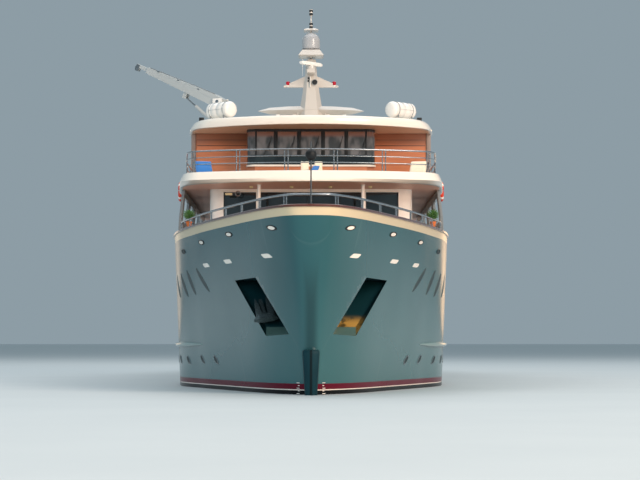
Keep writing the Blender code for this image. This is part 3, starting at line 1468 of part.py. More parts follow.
def build_propeller(side, name):
    """Four-bladed propeller on its shaft's end."""
    start = BOSS_S + BOSS_LENGTH / 2
    x = side * SHAFT_X
    y0 = at(start) + PIN_GAP
    hub = cylinder(name, (0, 0, 0), (0, HUB_LENGTH, 0), HUB_RADIUS, BRONZE, sides=16,
                   end_radius=HUB_RADIUS * 0.7)
    blades = []
    for k in range(BLADES):
        ring_list = []
        for j in range(5):
            r = HUB_RADIUS * 0.55 + (PROPELLER_RADIUS - HUB_RADIUS * 0.55) * j / 4
            chord = (0.038, 0.085, 0.105, 0.095, 0.035)[j]
            thick = 0.012 - 0.002 * j
            pitch = math.atan2(0.09, r) * side
            c, s = math.cos(pitch), math.sin(pitch)
            ring = []
            for a, b in ((-1, 0), (0, 1), (1, 0), (0, -1)):
                u, v = a * chord, b * thick / 2
                ring.append((u * c - v * s, HUB_LENGTH / 2 + u * s + v * c, r))
            # The order sets the facets' diagonals, so that they bulge and don't cross
            ring_list.append(ring[::-side])
        blade = rings("blade", ring_list, None, hidden=True)
        blades.append(move(blade, Matrix.Rotation(2 * math.pi * (k + 0.13) / BLADES, 4, "Y")))
    for obj in [hub] + blades:
        move(obj, Matrix.Translation((x, y0, SHAFT_Z)))
    return weld(hub, *blades)


def build_rudder(side, name):
    """Spade rudder on a stock that turns in the hull."""
    x, y = side * SHAFT_X, at(RUDDER_S)
    chord = RUDDER_CHORD
    ring_list = []
    for z, share in ((RUDDER_BOTTOM_Z, 0.8), (RUDDER_TOP_Z, 1.0)):
        half = RUDDER_THICK / 2
        c = chord * share
        plan = [(0, -c * 0.38), (half * 0.8, -c * 0.28), (half, -c * 0.05), (half * 0.5, c * 0.35),
                (0.004, c * 0.62),
                (-0.004, c * 0.62), (-half * 0.5, c * 0.35), (-half, -c * 0.05), (-half * 0.8, -c * 0.28)]
        ring_list.append([(x + px, y + py, z) for px, py in plan])
    rudder = rings(name, ring_list, HULL_PAINT)
    stock = cylinder("stock", (x, y, RUDDER_TOP_Z - 0.05), (x, y, STOCK_TOP_Z), STOCK_RADIUS, None,
                     hidden=True,
                     sides=PIN_SIDES)
    return weld(rudder, stock)


# Assembly

build_hull()
build_anchor()
for hand, word in ((1, "port"), (-1, "starboard")):
    build_bulwark(hand, "bulwark_" + word)
    build_cap(hand, "cap_rail_" + word)
    build_gate(hand, "gate_" + word)
    build_rub_rail(hand, "rub_rail_" + word)
    build_wing(hand, "side_wing_" + word)
    build_bitt("bitt_bow_" + word, hand * BITT_X, BITT_S, DECK_Z)
    build_bitt("bitt_aft_" + word, hand * AFT_BITT_X, AFT_BITT_S, DECK_Z)
    build_raft(hand, "life_raft_" + word)
    build_propeller(hand, "propeller_" + word)
    build_rudder(hand, "rudder_" + word)
build_windlass()
build_hatch()
build_jackstaff()
build_bow_rail()
build_saloon()
build_pillars()
build_upper_deck()
build_upper_rails()
build_house()
build_roof()
build_lounger("lounger_blue", -1, CANVAS)
build_lounger("lounger_cream", 1, WHITE_PAINT)
build_mast()
build_radar()
build_dome()
build_crane()
build_swim_platform()
build_stairs()
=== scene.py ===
import json
import math

import bmesh
import bpy
from mathutils import Matrix, Vector

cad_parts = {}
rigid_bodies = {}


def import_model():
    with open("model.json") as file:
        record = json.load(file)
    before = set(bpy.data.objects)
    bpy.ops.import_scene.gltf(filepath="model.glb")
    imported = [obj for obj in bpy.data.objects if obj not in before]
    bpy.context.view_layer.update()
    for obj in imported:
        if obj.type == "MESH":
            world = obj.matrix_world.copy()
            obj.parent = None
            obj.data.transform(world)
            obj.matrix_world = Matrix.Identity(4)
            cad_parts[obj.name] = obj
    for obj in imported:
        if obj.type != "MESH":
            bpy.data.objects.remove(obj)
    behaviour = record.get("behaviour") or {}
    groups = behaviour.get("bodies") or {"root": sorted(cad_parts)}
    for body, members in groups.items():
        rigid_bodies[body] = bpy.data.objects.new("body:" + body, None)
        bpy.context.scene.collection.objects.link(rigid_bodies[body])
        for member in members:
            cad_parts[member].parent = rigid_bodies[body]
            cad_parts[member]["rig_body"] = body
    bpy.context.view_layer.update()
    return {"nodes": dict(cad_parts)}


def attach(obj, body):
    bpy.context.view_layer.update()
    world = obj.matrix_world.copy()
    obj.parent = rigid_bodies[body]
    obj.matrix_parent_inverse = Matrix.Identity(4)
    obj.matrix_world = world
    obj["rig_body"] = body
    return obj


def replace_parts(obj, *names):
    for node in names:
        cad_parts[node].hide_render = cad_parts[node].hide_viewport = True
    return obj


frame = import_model()

# Sizes shared with the part's source
LENGTH = 23.5
HALF_BEAM = 2.19
RIM_Z = 2.385
DECK_Z = 1.78
SHEER_DROP = 0.012
SHEER_END_S = 5.424
STEM_RAKE = 1.05
STEM_POWER = 1.15
FOREFOOT = 1.30
ENTRANCE = 8.4
FLARE_POWER = 1.25
BILGE_POWER = 2.6
KEEL_HALF = 0.12
DRAFT = 1.20
TRANSOM_S = 22.6
TRANSOM_DEPTH = 0.25
RUN_START = 12.0
RUN_POWER = 1.1
AFT_START = 15.0
AFT_NARROWING = 0.10
BULWARK_THICK = 0.05
CAP_THICK = 0.034
CAP_OVERHANG = 0.022
CAP_WIDTH = 0.13
CAP_END_S = 13.6
CEILING_Z = 3.07
FLOOR_Z = 3.17
ROOF_TOP_Z = 4.37
BRIDGE_FRONT_S = 8.27
SALOON_FRONT_S = 6.1
MAST_S = 11.0
GAP = 0.0003
CAP_TOP = CAP_THICK + 2 * GAP
POCKET_CORNERS = ((1.035, 1.522), (0.733, 1.536), (0.284, 0.787), (0.595, 0.766))
POCKET_FRONT_S = 0.3
POCKET_DEPTH = 0.15
SILL_RISE = 0.12
GATE_S = 14.2
GATE_WIDTH = 0.50
GATE_SILL = 0.06

SIDES = ((1, "port"), (-1, "starboard"))
UP = Vector((0, 0, 1))
SMOOTH_ANGLE = 35.0

# Hull lines: share of the entrance, of the rim's half breadth, of the waterline's half breadth
LINES = (
    # run,   rim,   waterline
    (0.000, 0.000, 0.000),
    (0.004, 0.100, 0.030),
    (0.018, 0.166, 0.075),
    (0.040, 0.220, 0.140),
    (0.080, 0.296, 0.235),
    (0.140, 0.387, 0.335),
    (0.220, 0.497, 0.440),
    (0.320, 0.630, 0.568),
    (0.460, 0.785, 0.745),
    (0.640, 0.935, 0.930),
    (0.820, 0.990, 0.975),
    (1.000, 1.000, 0.985),
)


# Colours and shader nodes

def srgb(code):
    """Linear red, green, blue and full alpha of an sRGB hex value."""
    values = [int(code[i:i + 2], 16) / 255 for i in (0, 2, 4)]
    return (*[v / 12.92 if v <= 0.04045 else ((v + 0.055) / 1.055) ** 2.4 for v in values], 1.0)


def fill(tree, socket, value):
    """Links a socket to another one, or gives it a plain value or a hex colour."""
    if isinstance(value, bpy.types.NodeSocket):
        tree.links.new(value, socket)
    else:
        socket.default_value = srgb(value) if isinstance(value, str) else value


def add(tree, kind, inputs=(), **settings):
    """Adds a node, gives it its settings, and fills or links its inputs."""
    made = tree.nodes.new(kind)
    for name, value in settings.items():
        setattr(made, name, value)
    for socket, value in dict(inputs).items():
        fill(tree, made.inputs[socket], value)
    return made


def start_material(name, roughness, metallic=0.0, **sockets):
    """A material with its Principled shader's plain values set."""
    mat = bpy.data.materials.new(name)
    mat.use_nodes = True
    shader = mat.node_tree.nodes["Principled BSDF"]
    feed(shader, Roughness=roughness, Metallic=metallic, **sockets)
    return mat, mat.node_tree, shader


def feed(shader, **sources):
    """Links or fills the shader's sockets; an underscore in a name stands for a space."""
    for name, source in sources.items():
        fill(shader.id_data, shader.inputs[name.replace("_", " ")], source)


def coordinates(tree):
    """Object coordinates in metres."""
    return add(tree, "ShaderNodeTexCoord").outputs["Object"]


def place(tree, stretch=(1, 1, 1)):
    """Object coordinates in metres, stretched."""
    return add(tree, "ShaderNodeMapping", {"Vector": coordinates(tree), "Scale": stretch}).outputs["Vector"]


def axes(tree):
    """Object coordinates in metres, then x, y and z alone."""
    where = coordinates(tree)
    return where, *add(tree, "ShaderNodeSeparateXYZ", {"Vector": where}).outputs


def sums(tree, operation, *values):
    """A maths node's result."""
    return add(tree, "ShaderNodeMath", dict(enumerate(values)), operation=operation).outputs[0]


def mix(tree, factor, first, second):
    """Mixes two colours; a Mix node repeats its sockets for each data type, so they are picked by number."""
    return add(tree, "ShaderNodeMix", {0: factor, 6: first, 7: second}, data_type="RGBA").outputs[2]


def ramp(tree, value, low, high, start=0.0, end=1.0, kind="LINEAR"):
    """Start up to low, end from high on, and a straight or smooth run between."""
    made = add(tree, "ShaderNodeMapRange", {"Value": value, "From Min": low, "From Max": high,
                                            "To Min": start, "To Max": end}, interpolation_type=kind)
    return made.outputs[0]


def steps(tree, value, low, high):
    """0 below low, 1 above high, a smooth step between."""
    return ramp(tree, value, low, high, kind="SMOOTHSTEP")


def noise(tree, vector, scale, detail=3.0, rough=0.5):
    return add(tree, "ShaderNodeTexNoise", {"Vector": vector, "Scale": scale, "Detail": detail,
                                            "Roughness": rough}).outputs["Fac"]


def bump(shader, height, distance, strength, after=(0, 0, 0)):
    """Bumps the shader's normal, on top of an earlier bump if one is given, and gives the normal back."""
    tree = shader.id_data
    normal = add(tree, "ShaderNodeBump", {"Height": height, "Distance": distance, "Strength": strength,
                                          "Normal": after}).outputs["Normal"]
    feed(shader, Normal=normal)
    return normal


def yacht_paint(name, colour, shade, roughness, wave=0.0012, gloss=0.5):
    """Sprayed two-pack polyurethane over faired plates: a deep gloss, slow waves, faint dulling by salt."""
    mat, tree, shader = start_material(name, roughness, Coat_Weight=gloss, Coat_Roughness=0.06)
    broad = noise(tree, place(tree), 0.9, 4.0, 0.55)
    salt = noise(tree, place(tree, (1, 1, 3)), 2.4, 2.0, 0.4)
    feed(shader, Base_Color=mix(tree, broad, colour, shade),
         Roughness=ramp(tree, salt, 0.3, 0.8, roughness, roughness + 0.04))
    # Orange peel is under a millimetre and can't show, so the faired plates' waves are drawn instead
    bump(shader, noise(tree, place(tree), 1.6, 2.0, 0.4), wave, 0.6)
    return mat


def topside_paint():
    """Teal polyurethane topsides: cream sheer band, maroon boot stripe, thin white line, dark antifouling."""
    mat, tree, shader = start_material("teal_topside_paint", 0.26, Coat_Roughness=0.12)
    where, x, y, z = axes(tree)
    broad = noise(tree, place(tree, (1, 1, 0.7)), 0.8, 4.0, 0.5)
    # Painted reflection: the teal is lighter towards the water, where the flared sides mirror the pale floor,
    # and darker up high
    teal = mix(tree, steps(tree, z, 0.1, 1.7), "356369", mix(tree, broad, "1e4a51", "27585f"))
    # Salt streaks run down from the ports
    streak = noise(tree, place(tree, (0, 7, 0.3)), 2.2, 3.0, 0.55)
    teal = mix(tree, ramp(tree, streak, 0.62, 0.9, 0.0, 0.25), teal, "6f8c89")
    # Painted shade: a darker band down the stem's narrow front face, fading out into the topsides
    beside = steps(tree, sums(tree, "ABSOLUTE", x), 0.02, 0.12)
    teal = mix(tree, sums(tree, "MAXIMUM", beside, steps(tree, z, 1.15, 1.85)), "1c4147", teal)
    # The cream band follows the sheer: its lower edge falls with the rim
    run = sums(tree, "MINIMUM", sums(tree, "ADD", y, LENGTH / 2), SHEER_END_S)
    band = sums(tree, "GREATER_THAN", sums(tree, "MULTIPLY_ADD", run, SHEER_DROP, z), RIM_Z - 0.104)
    painted = mix(tree, band, teal, "c8bb9c")
    for level, code in ((0.143, "5a1226"), (0.068, "d8d5cd"), (0.055, "0f1316")):
        painted = mix(tree, sums(tree, "LESS_THAN", z, level), painted, code)
    salt = noise(tree, place(tree, (1, 1, 2)), 1.6, 2.0, 0.4)
    # The boot stripe and the antifouling are matt, so only the topsides have a clear coat
    glossy = steps(tree, z, 0.13, 0.16)
    feed(shader, Base_Color=painted, Roughness=ramp(tree, salt, 0.3, 0.85, 0.245, 0.275),
         Coat_Weight=sums(tree, "MULTIPLY", glossy, 0.16),
         Specular_IOR_Level=sums(tree, "MULTIPLY_ADD", glossy, 0.24, 0.08))
    # Frames show faintly as a print through the plates
    frames = add(tree, "ShaderNodeTexWave",
                 {"Vector": where, "Scale": 0.55, "Distortion": 0.6, "Detail": 1.0},
                 bands_direction="Y").outputs["Fac"]
    bump(shader, noise(tree, where, 1.3, 2.0, 0.4), 0.0009, 0.4, bump(shader, frames, 0.0006, 0.3))
    return mat


def varnished_teak():
    """Teak under many coats of varnish: red-brown with long dark pores and a wet shine."""
    mat, tree, shader = start_material("varnished_teak_cap", 0.22, Coat_Weight=0.6, Coat_Roughness=0.08)
    grain = noise(tree, place(tree, (24, 1.2, 24)), 2.0, 6.0, 0.65)
    broad = noise(tree, place(tree, (2, 0.7, 2)), 1.1, 2.0)
    wood = mix(tree, grain, "2c120b", "5c2b19")
    feed(shader, Base_Color=mix(tree, sums(tree, "MULTIPLY", broad, 0.5), wood, "54261a"))
    bump(shader, grain, 0.0008, 0.3)
    return mat


def deck_teak():
    """Scrubbed teak planks, 45 mm wide at this scale, with black caulking between and staggered butts."""
    mat, tree, shader = start_material("teak_deck_planks", 0.68)
    lengthwise = add(tree, "ShaderNodeMapping",
                     {"Vector": coordinates(tree), "Rotation": (0, 0, math.pi / 2)})
    planks = add(tree, "ShaderNodeTexBrick",
                 {"Vector": lengthwise.outputs["Vector"], "Color1": "a9825a", "Color2": "94704d",
                  "Mortar": "1c1a18", "Scale": 1.0, "Mortar Size": 0.0035, "Mortar Smooth": 0.1,
                  "Brick Width": 1.3, "Row Height": 0.045}, offset=0.37).outputs
    grain = noise(tree, place(tree, (60, 3, 60)), 2.0, 5.0, 0.6)
    feed(shader, Base_Color=mix(tree, sums(tree, "MULTIPLY", grain, 0.45), planks["Color"], "6f5239"))
    bump(shader, planks["Fac"], 0.002, 0.5)
    return mat


def stainless(name, tone, roughness):
    """Polished 316 stainless: faint polishing lines round the tube and some tea staining."""
    mat, tree, shader = start_material(name, roughness, 1.0)
    stain = noise(tree, place(tree), 9.0, 4.0, 0.6)
    lines = noise(tree, place(tree, (4, 4, 160)), 3.0, 3.0)
    feed(shader, Base_Color=mix(tree, ramp(tree, stain, 0.55, 0.9, 0.0, 0.4), tone, "9c8a74"),
         Roughness=ramp(tree, lines, 0.0, 1.0, roughness - 0.05, roughness + 0.14))
    bump(shader, lines, 0.0002, 0.25)
    return mat


def galvanised(name, low, high, roughness):
    """Hot-dip zinc on steel: grey with large soft spangles, dull where it has rubbed."""
    mat, tree, shader = start_material(name, roughness, 0.75)
    spangle = add(tree, "ShaderNodeTexVoronoi", {"Vector": place(tree), "Scale": 45.0}).outputs["Distance"]
    rub = noise(tree, place(tree), 14.0, 5.0, 0.65)
    zinc = mix(tree, spangle, low, high)
    feed(shader, Base_Color=mix(tree, ramp(tree, rub, 0.62, 0.78, 0.0, 0.6), zinc, "6b5443"))
    bump(shader, rub, 0.002, 0.4)
    return mat


def tinted_glass(name, colour, edge):
    """Dark tinted safety glass: near black, sharp reflections, slow waves from bending, shapes behind it."""
    mat, tree, shader = start_material(name, 0.06, Coat_Weight=0.6, Coat_Roughness=0.03, IOR=1.52)
    room = noise(tree, place(tree, (1.6, 1.6, 0.8)), 1.7, 2.0, 0.4)
    feed(shader, Base_Color=mix(tree, steps(tree, room, 0.42, 0.60), colour, edge))
    bump(shader, noise(tree, place(tree), 1.1, 1.0), 0.003, 0.25)
    return mat


def bridge_glass():
    """Tinted bridge panes: grey daylight inside, the rose deckhead mirrored along their top edge."""
    mat, tree, shader = start_material("bridge_tinted_glass", 0.10, Coat_Weight=0.3, Coat_Roughness=0.05)
    z = axes(tree)[3]
    room = noise(tree, place(tree, (1.2, 1.2, 0.6)), 4.2, 2.0, 0.5)
    seen = mix(tree, steps(tree, room, 0.40, 0.62), "3c4245", "6a6d70")
    feed(shader, Base_Color=mix(tree, steps(tree, z, 4.085, 4.16), seen, "77564a"))
    bump(shader, noise(tree, place(tree), 1.1, 1.0), 0.003, 0.25)
    return mat


def fin_paint():
    """Matt dark teal of the stem fin, darker along the bar down its middle."""
    mat, tree, shader = start_material("dark_teal_fin_paint", 0.55, Specular_IOR_Level=0.2)
    where, x, _, _ = axes(tree)
    worn = mix(tree, noise(tree, where, 5.0, 4.0), "04222b", "0a323b")
    feed(shader, Base_Color=mix(tree, steps(tree, sums(tree, "ABSOLUTE", x), 0.010, 0.022), "021318", worn))
    bump(shader, noise(tree, where, 14.0, 3.0), 0.001, 0.3)
    return mat


def pocket_shade_and_rust():
    """Dark teal inside the anchor pockets, much darker than the topsides as painted shade of the recess; rust
    from the port chain has run down to the sill.
    """
    mat, tree, shader = start_material("dark_teal_pocket_painted_shade_and_rust", 0.4, Coat_Weight=0.2, Coat_Roughness=0.06)
    where, x, _, z = axes(tree)
    # Painted shade: the pocket's walls are much darker than the topsides, for the shade inside the recess
    paint = mix(tree, noise(tree, where, 0.9, 4.0, 0.55), "06262d", "0f353c")
    runs = noise(tree, place(tree, (1, 1, 0.4)), 9.0, 3.0, 0.5)
    rust = mix(tree, steps(tree, runs, 0.36, 0.56), "4c4324", "b08c46")
    clean = sums(tree, "MAXIMUM", steps(tree, z, 0.93, 1.06), sums(tree, "LESS_THAN", x, 0.0))
    feed(shader, Base_Color=mix(tree, clean, rust, paint))
    bump(shader, noise(tree, where, 1.6, 2.0, 0.4), 0.0012, 0.6)
    return mat


def copper_paint():
    """Copper-brown metallic wall paint on panelled aluminium: warm, satin, with painted shade darkening it
    under the roof.
    """
    mat, tree, shader = start_material("copper_metallic_paint", 0.33, 0.25, Coat_Weight=0.4,
                                       Coat_Roughness=0.12)
    where, _, _, z = axes(tree)
    warm = mix(tree, noise(tree, place(tree, (1, 1, 1.6)), 1.5, 3.0), "b96f4b", "d08a62")
    # Painted shade: the walls darken towards the top, where the roof shades them
    feed(shader, Base_Color=mix(tree, sums(tree, "MULTIPLY", steps(tree, z, 3.98, 4.12), 0.75), warm,
                                "7c5747"))
    # Metal flake is 0.1 mm, so it is drawn ten times coarser to glint at all
    flake = add(tree, "ShaderNodeTexVoronoi", {"Vector": where, "Scale": 900.0}).outputs["Distance"]
    bump(shader, flake, 0.0003, 0.15)
    return mat


def woven_canvas(name, warp, weft):
    """Acrylic canvas, plain weave: 4 mm threads, as the real half millimetre wouldn't show."""
    mat, tree, shader = start_material(name, 0.85, Sheen_Weight=0.3, Sheen_Roughness=0.5)
    where = place(tree)
    weave = sums(tree, "MULTIPLY", *[
        add(tree, "ShaderNodeTexWave", {"Vector": where, "Scale": 0.314 / 0.004, "Distortion": 0.2},
            bands_direction=direction).outputs["Fac"] for direction in ("X", "Y")])
    faded = sums(tree, "ADD", weave, noise(tree, where, 3.0, 4.0))
    feed(shader, Base_Color=mix(tree, faded, warp, weft))
    bump(shader, weave, 0.001, 0.5)
    return mat


def moulded(name, colour, shade, roughness):
    """Moulded plastic or rubber: even colour, a soft sheen and a fine grain."""
    mat, tree, shader = start_material(name, roughness)
    feed(shader, Base_Color=mix(tree, noise(tree, place(tree), 6.0, 4.0), colour, shade))
    bump(shader, noise(tree, place(tree), 220.0, 2.0), 0.0006, 0.3)
    return mat


def cast_bronze():
    """Nickel-aluminium bronze, ground and polished: gold-brown with darker patches of tarnish."""
    mat, tree, shader = start_material("propeller_bronze", 0.3, 1.0)
    feed(shader, Base_Color=mix(tree, noise(tree, place(tree), 11.0, 5.0, 0.6), "8a5f2e", "c79a55"))
    bump(shader, noise(tree, place(tree, (1, 1, 30)), 8.0, 3.0), 0.0004, 0.3)
    return mat


TOPSIDES = topside_paint()
FIN_PAINT = fin_paint()
POCKET_SHADE_AND_RUST = pocket_shade_and_rust()
# Painted light: the sill is lighter than the pocket's walls, for the lit floor of the recess
SILL_PAINTED_LIGHT = yacht_paint("sill_painted_light", "3f605e", "567470", 0.45, gloss=0.2)
RUB_PAINT = yacht_paint("teal_rub_rail_paint", "6f8c8b", "7d9896", 0.3)
CREAM = yacht_paint("cream_yacht_paint", "efeae0", "e5dfd3", 0.2)
WHITE = yacht_paint("white_yacht_paint", "f4f2ec", "e6e4de", 0.2)
# Pale ceiling paint whose rose tint is painted bounce light, reflected up from the copper walls and the deck
CEILING_PAINTED_BOUNCE = yacht_paint("pale_ceiling_paint_rose_painted_bounce", "edb9a4", "e3aa92", 0.5, gloss=0.1)
COPPER = copper_paint()
CAP_TEAK = varnished_teak()
DECK_TEAK = deck_teak()
STEEL = stainless("polished_stainless", "a9adb0", 0.2)
SATIN_STEEL = stainless("satin_stainless", "9ca1a4", 0.36)
ZINC = galvanised("hot_dip_galvanised", "6f7678", "9aa1a2", 0.5)
ANCHOR_ZINC = galvanised("worn_galvanised_anchor", "3c4a4e", "66777b", 0.55)
BRIDGE_GLASS = bridge_glass()
SALOON_GLASS = tinted_glass("saloon_tinted_glass", "0c171d", "1c2a31")
PORT_GLASS = tinted_glass("toughened_port_glass", "0c161a", "1c2a2e")
# Dark slot and porthole glass, also laid in the aft fairleads and freeing ports as painted shade in their
# openings
DARK_GLASS_AND_HOLE_SHADE = moulded("dark_glass_and_painted_hole_shade", "1b2c30", "26383c", 0.5)
BLACK = moulded("black_epdm_rubber", "121416", "1d2022", 0.6)
DARK_TRIM = moulded("black_anodised_frame", "15191c", "22272a", 0.35)
RED_LENS = moulded("red_lamp_lens", "b3122a", "8e0d20", 0.25)
BLUE_CANVAS = woven_canvas("blue_acrylic_canvas", "1c5fa6", "2f7ac4")
CREAM_CANVAS = woven_canvas("cream_acrylic_canvas", "e9d9bd", "f6ead2")
WHITE_CANVAS = woven_canvas("white_acrylic_canvas", "d9d6d2", "efece8")
BRONZE = cast_bronze()
# Painted bounce light: the roof's underside is tinted peach for light reflected up from the deck, the water
# and the copper walls
ROOF_SOFFIT_PAINTED_BOUNCE = yacht_paint("peach_roof_soffit_painted_bounce", "f6cfae", "efc3a0", 0.4, gloss=0.2)
HAZE_GREY = yacht_paint("haze_grey_paint", "b3b9b9", "a5adae", 0.42, wave=0.0, gloss=0.1)
DARK_STEEL = stainless("weathered_staff_steel", "6b7073", 0.34)
# Painted shade: the white side screens are drawn blue-grey, as they stand in shade under the upper deck
SCREEN_PAINTED_SHADE = yacht_paint("blue_grey_screen_painted_shade", "7d868a", "70797e", 0.3)
# Painted shade and reflection: the corner posts are drawn grey-rose, for their shade and the copper walls
# mirrored in them
POST_PAINTED_SHADE = yacht_paint("grey_rose_post_painted_shade", "8f8078", "837771", 0.35)
# Pale grey gelcoat, drawn darker still as painted shade for the dome's half-shade
DOME_GREY_AND_SHADE = yacht_paint("pale_grey_dome_gelcoat_and_painted_shade", "a8abad", "a0a3a6", 0.3)
# Painted shade: the white mast is drawn greyer, for the half-shade it stands in
MAST_PAINTED_SHADE = yacht_paint("mast_white_painted_shade", "c9c5be", "bebab3", 0.3)
BALL_BLACK = moulded("black_day_shape", "070809", "0d0e10", 0.55)
TERRACOTTA = moulded("terracotta_pot", "c9703a", "b35f30", 0.7)
LEAVES = moulded("green_leaves", "2f5a2c", "5f8a45", 0.6)
ORANGE = moulded("orange_lifebuoy_vinyl", "d8401f", "c2361a", 0.5)
LAMP_GLASS = moulded("frosted_lamp_glass", "f3e6b8", "e2d09a", 0.3)


# Mesh tools

def at(station):
    """y coordinate of a station, which is a distance aft of the bow tip."""
    return station - LENGTH / 2


def circle(count, start=0.0):
    """Even angles round a circle, the first one a share of a step on."""
    return [2 * math.pi * (k + start) / count for k in range(count)]


def hoop(centre, first, second, radius, sides):
    """Points round a circle in the plane of two directions."""
    return [centre + (first * math.cos(a) + second * math.sin(a)) * radius for a in circle(sides)]


def squared(value, power):
    """A sine or cosine bent so that a circle turns into a rounded square."""
    return math.copysign(abs(value) ** power, value)


def make(name, bm, materials, smooth=SMOOTH_ANGLE, body="ship", recalc=True):
    """Turns a bmesh into a piece with its materials, smoothed below an angle, on a body."""
    bmesh.ops.remove_doubles(bm, verts=bm.verts, dist=0.00002)
    if recalc:
        bmesh.ops.recalc_face_normals(bm, faces=bm.faces[:])
    mesh = bpy.data.meshes.new(name)
    bm.to_mesh(mesh)
    bm.free()
    for mat in materials if isinstance(materials, list) else [materials]:
        mesh.materials.append(mat)
    if smooth:
        smoothed(mesh, smooth)
    obj = bpy.data.objects.new(name, mesh)
    bpy.context.scene.collection.objects.link(obj)
    if body:
        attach(obj, body)
    return obj


def smoothed(mesh, angle=SMOOTH_ANGLE):
    mesh.shade_smooth()
    mesh.set_sharp_from_angle(angle=math.radians(angle))


def moved(bm, matrix):
    """Moves everything in the mesh."""
    for v in bm.verts:
        v.co = matrix @ v.co


def apply_modifiers(piece):
    """Gives a piece the mesh that its modifiers make of it."""
    graph = bpy.context.evaluated_depsgraph_get()
    old = piece.data
    made = bpy.data.meshes.new_from_object(piece.evaluated_get(graph), depsgraph=graph)
    piece.modifiers.clear()
    piece.data = made
    bpy.data.meshes.remove(old)
    return made


def loft(bm, rows, index=0, closed_rows=False, closed_ring=True, caps=True):
    """Quads between rows of points, and ends; index is a material number or one for each band."""
    grid = [[bm.verts.new(p) for p in row] for row in rows]
    pairs = list(zip(grid, grid[1:] + (grid[:1] if closed_rows else [])))
    marks = [index] * len(pairs) if isinstance(index, int) else index
    count = len(grid[0])
    for mark, (low, high) in zip(marks, pairs):
        for k in range(count if closed_ring else count - 1):
            n = (k + 1) % count
            bm.faces.new((low[k], low[n], high[n], high[k])).material_index = mark
    if caps and not closed_rows:
        bm.faces.new(grid[0][::-1]).material_index = marks[0]
        bm.faces.new(grid[-1]).material_index = marks[-1]
    return grid


def lofted(name, rows, materials, index=0, smooth=SMOOTH_ANGLE):
    bm = bmesh.new()
    loft(bm, rows, index)
    return make(name, bm, materials, smooth)


def round_box(bm, corner, opposite, edge, segments=2):
    """A box between two opposite corners, with rounded edges."""
    low, high = Vector(map(min, corner, opposite)), Vector(map(max, corner, opposite))
    made = bmesh.ops.create_cube(bm, size=1.0)["verts"]
    for v in made:
        v.co = Vector([a + (c + 0.5) * (b - a) for a, b, c in zip(low, high, v.co)])
    edges = list(dict.fromkeys(e for v in made for e in v.link_edges))
    bmesh.ops.bevel(bm, geom=edges, offset=edge, segments=segments, affect="EDGES", profile=0.5, material=-1)


def crosswise(axis):
    """A level direction across an axis."""
    side = axis.cross(UP)
    return side.normalized() if side.length >= 0.01 else Vector((1, 0, 0))


def turned(bm, start, end, profile, sides=32):
    """A turned piece: (share of the way from start to end, radius) rings about that axis."""
    start, end = Vector(start), Vector(end)
    axis = (end - start).normalized()
    side = crosswise(axis)
    rows = [hoop(start.lerp(end, share), side, axis.cross(side), radius, sides) for share, radius in profile]
    loft(bm, rows)


def rod(bm, start, end, radius, sides=16):
    """A round bar with slightly eased ends."""
    length = (Vector(end) - Vector(start)).length
    ease = min(0.12 * radius, length / 4) / length
    profile = ((0, radius * 0.88), (ease, radius), (1 - ease, radius), (1, radius * 0.88))
    turned(bm, start, end, profile, sides)


def ball(bm, centre, radius, segments, rings):
    bmesh.ops.create_uvsphere(bm, u_segments=segments, v_segments=rings, radius=radius,
                              matrix=Matrix.Translation(centre))


def tube(bm, points, radius, sides=10, closed=False):
    """A round tube along points, mitred at the bends."""
    points = [Vector(p) for p in points]
    count = len(points)
    rows = []
    for k, here in enumerate(points):
        before = points[k - 1] if (closed or k) else here
        after = points[(k + 1) % count] if (closed or k < count - 1) else here
        along = (after - before).normalized()
        across = crosswise(along)
        rows.append(hoop(here, across, across.cross(along), radius, sides))
    loft(bm, rows, closed_rows=closed)


def dress(node, material, edge=0.006, angle=30.0, smooth=SMOOTH_ANGLE):
    """A finished copy of a CAD node: merged, its flat faces joined, its edges eased; it replaces the node."""
    source = frame["nodes"][node]
    bm = bmesh.new()
    bm.from_mesh(source.data)
    bmesh.ops.remove_doubles(bm, verts=bm.verts, dist=0.00005)
    bmesh.ops.dissolve_limit(bm, angle_limit=math.radians(1.0), verts=bm.verts, edges=bm.edges)
    obj = make(node + "_finished", bm, material, smooth, source["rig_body"], recalc=False)
    if edge:
        bevel = obj.modifiers.new("Eased edges", "BEVEL")
        bevel.width = edge
        bevel.segments = 2
        bevel.limit_method = "ANGLE"
        bevel.angle_limit = math.radians(angle)
    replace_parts(obj, node)


def cut_away(piece, forms):
    """Cuts closed forms, each (name, bmesh, materials), out of a piece; a cut's faces take its materials."""
    cutters = [make(name, bm, materials, smooth=None, body=None) for name, bm, materials in forms]
    for cutter in cutters:
        mod = piece.modifiers.new(cutter.name, "BOOLEAN")
        mod.operation = "DIFFERENCE"
        mod.solver = "EXACT"
        mod.object = cutter
        mod.material_mode = "TRANSFER"
    smoothed(apply_modifiers(piece))
    for cutter in cutters:
        bpy.data.objects.remove(cutter)


# Hull surface

def line_share(column, share):
    """Monotone cubic through a column of the hull lines, over the root of the run."""
    root = math.sqrt(share)
    xs = [math.sqrt(row[0]) for row in LINES]
    ys = [row[column] for row in LINES]
    widths = [b - a for a, b in zip(xs, xs[1:])]
    slopes = [(b - a) / h for a, b, h in zip(ys, ys[1:], widths)]
    ends = [2 * a * b / (a + b) if a * b > 0 else 0.0 for a, b in zip(slopes, slopes[1:])]
    ends = [slopes[0], *ends, slopes[-1]]
    k = max(i for i in range(len(widths)) if xs[i] <= root)
    h = widths[k]
    t = (root - xs[k]) / h
    return ((1 + 2 * t) * (1 - t) ** 2 * ys[k] + t * (1 - t) ** 2 * h * ends[k]
            + t * t * (3 - 2 * t) * ys[k + 1] + t * t * (t - 1) * h * ends[k + 1])


def stem(z):
    return STEM_RAKE * max(0.0, 1 - z / RIM_Z) ** STEM_POWER


def rim_z(station):
    return RIM_Z - SHEER_DROP * min(station, SHEER_END_S)


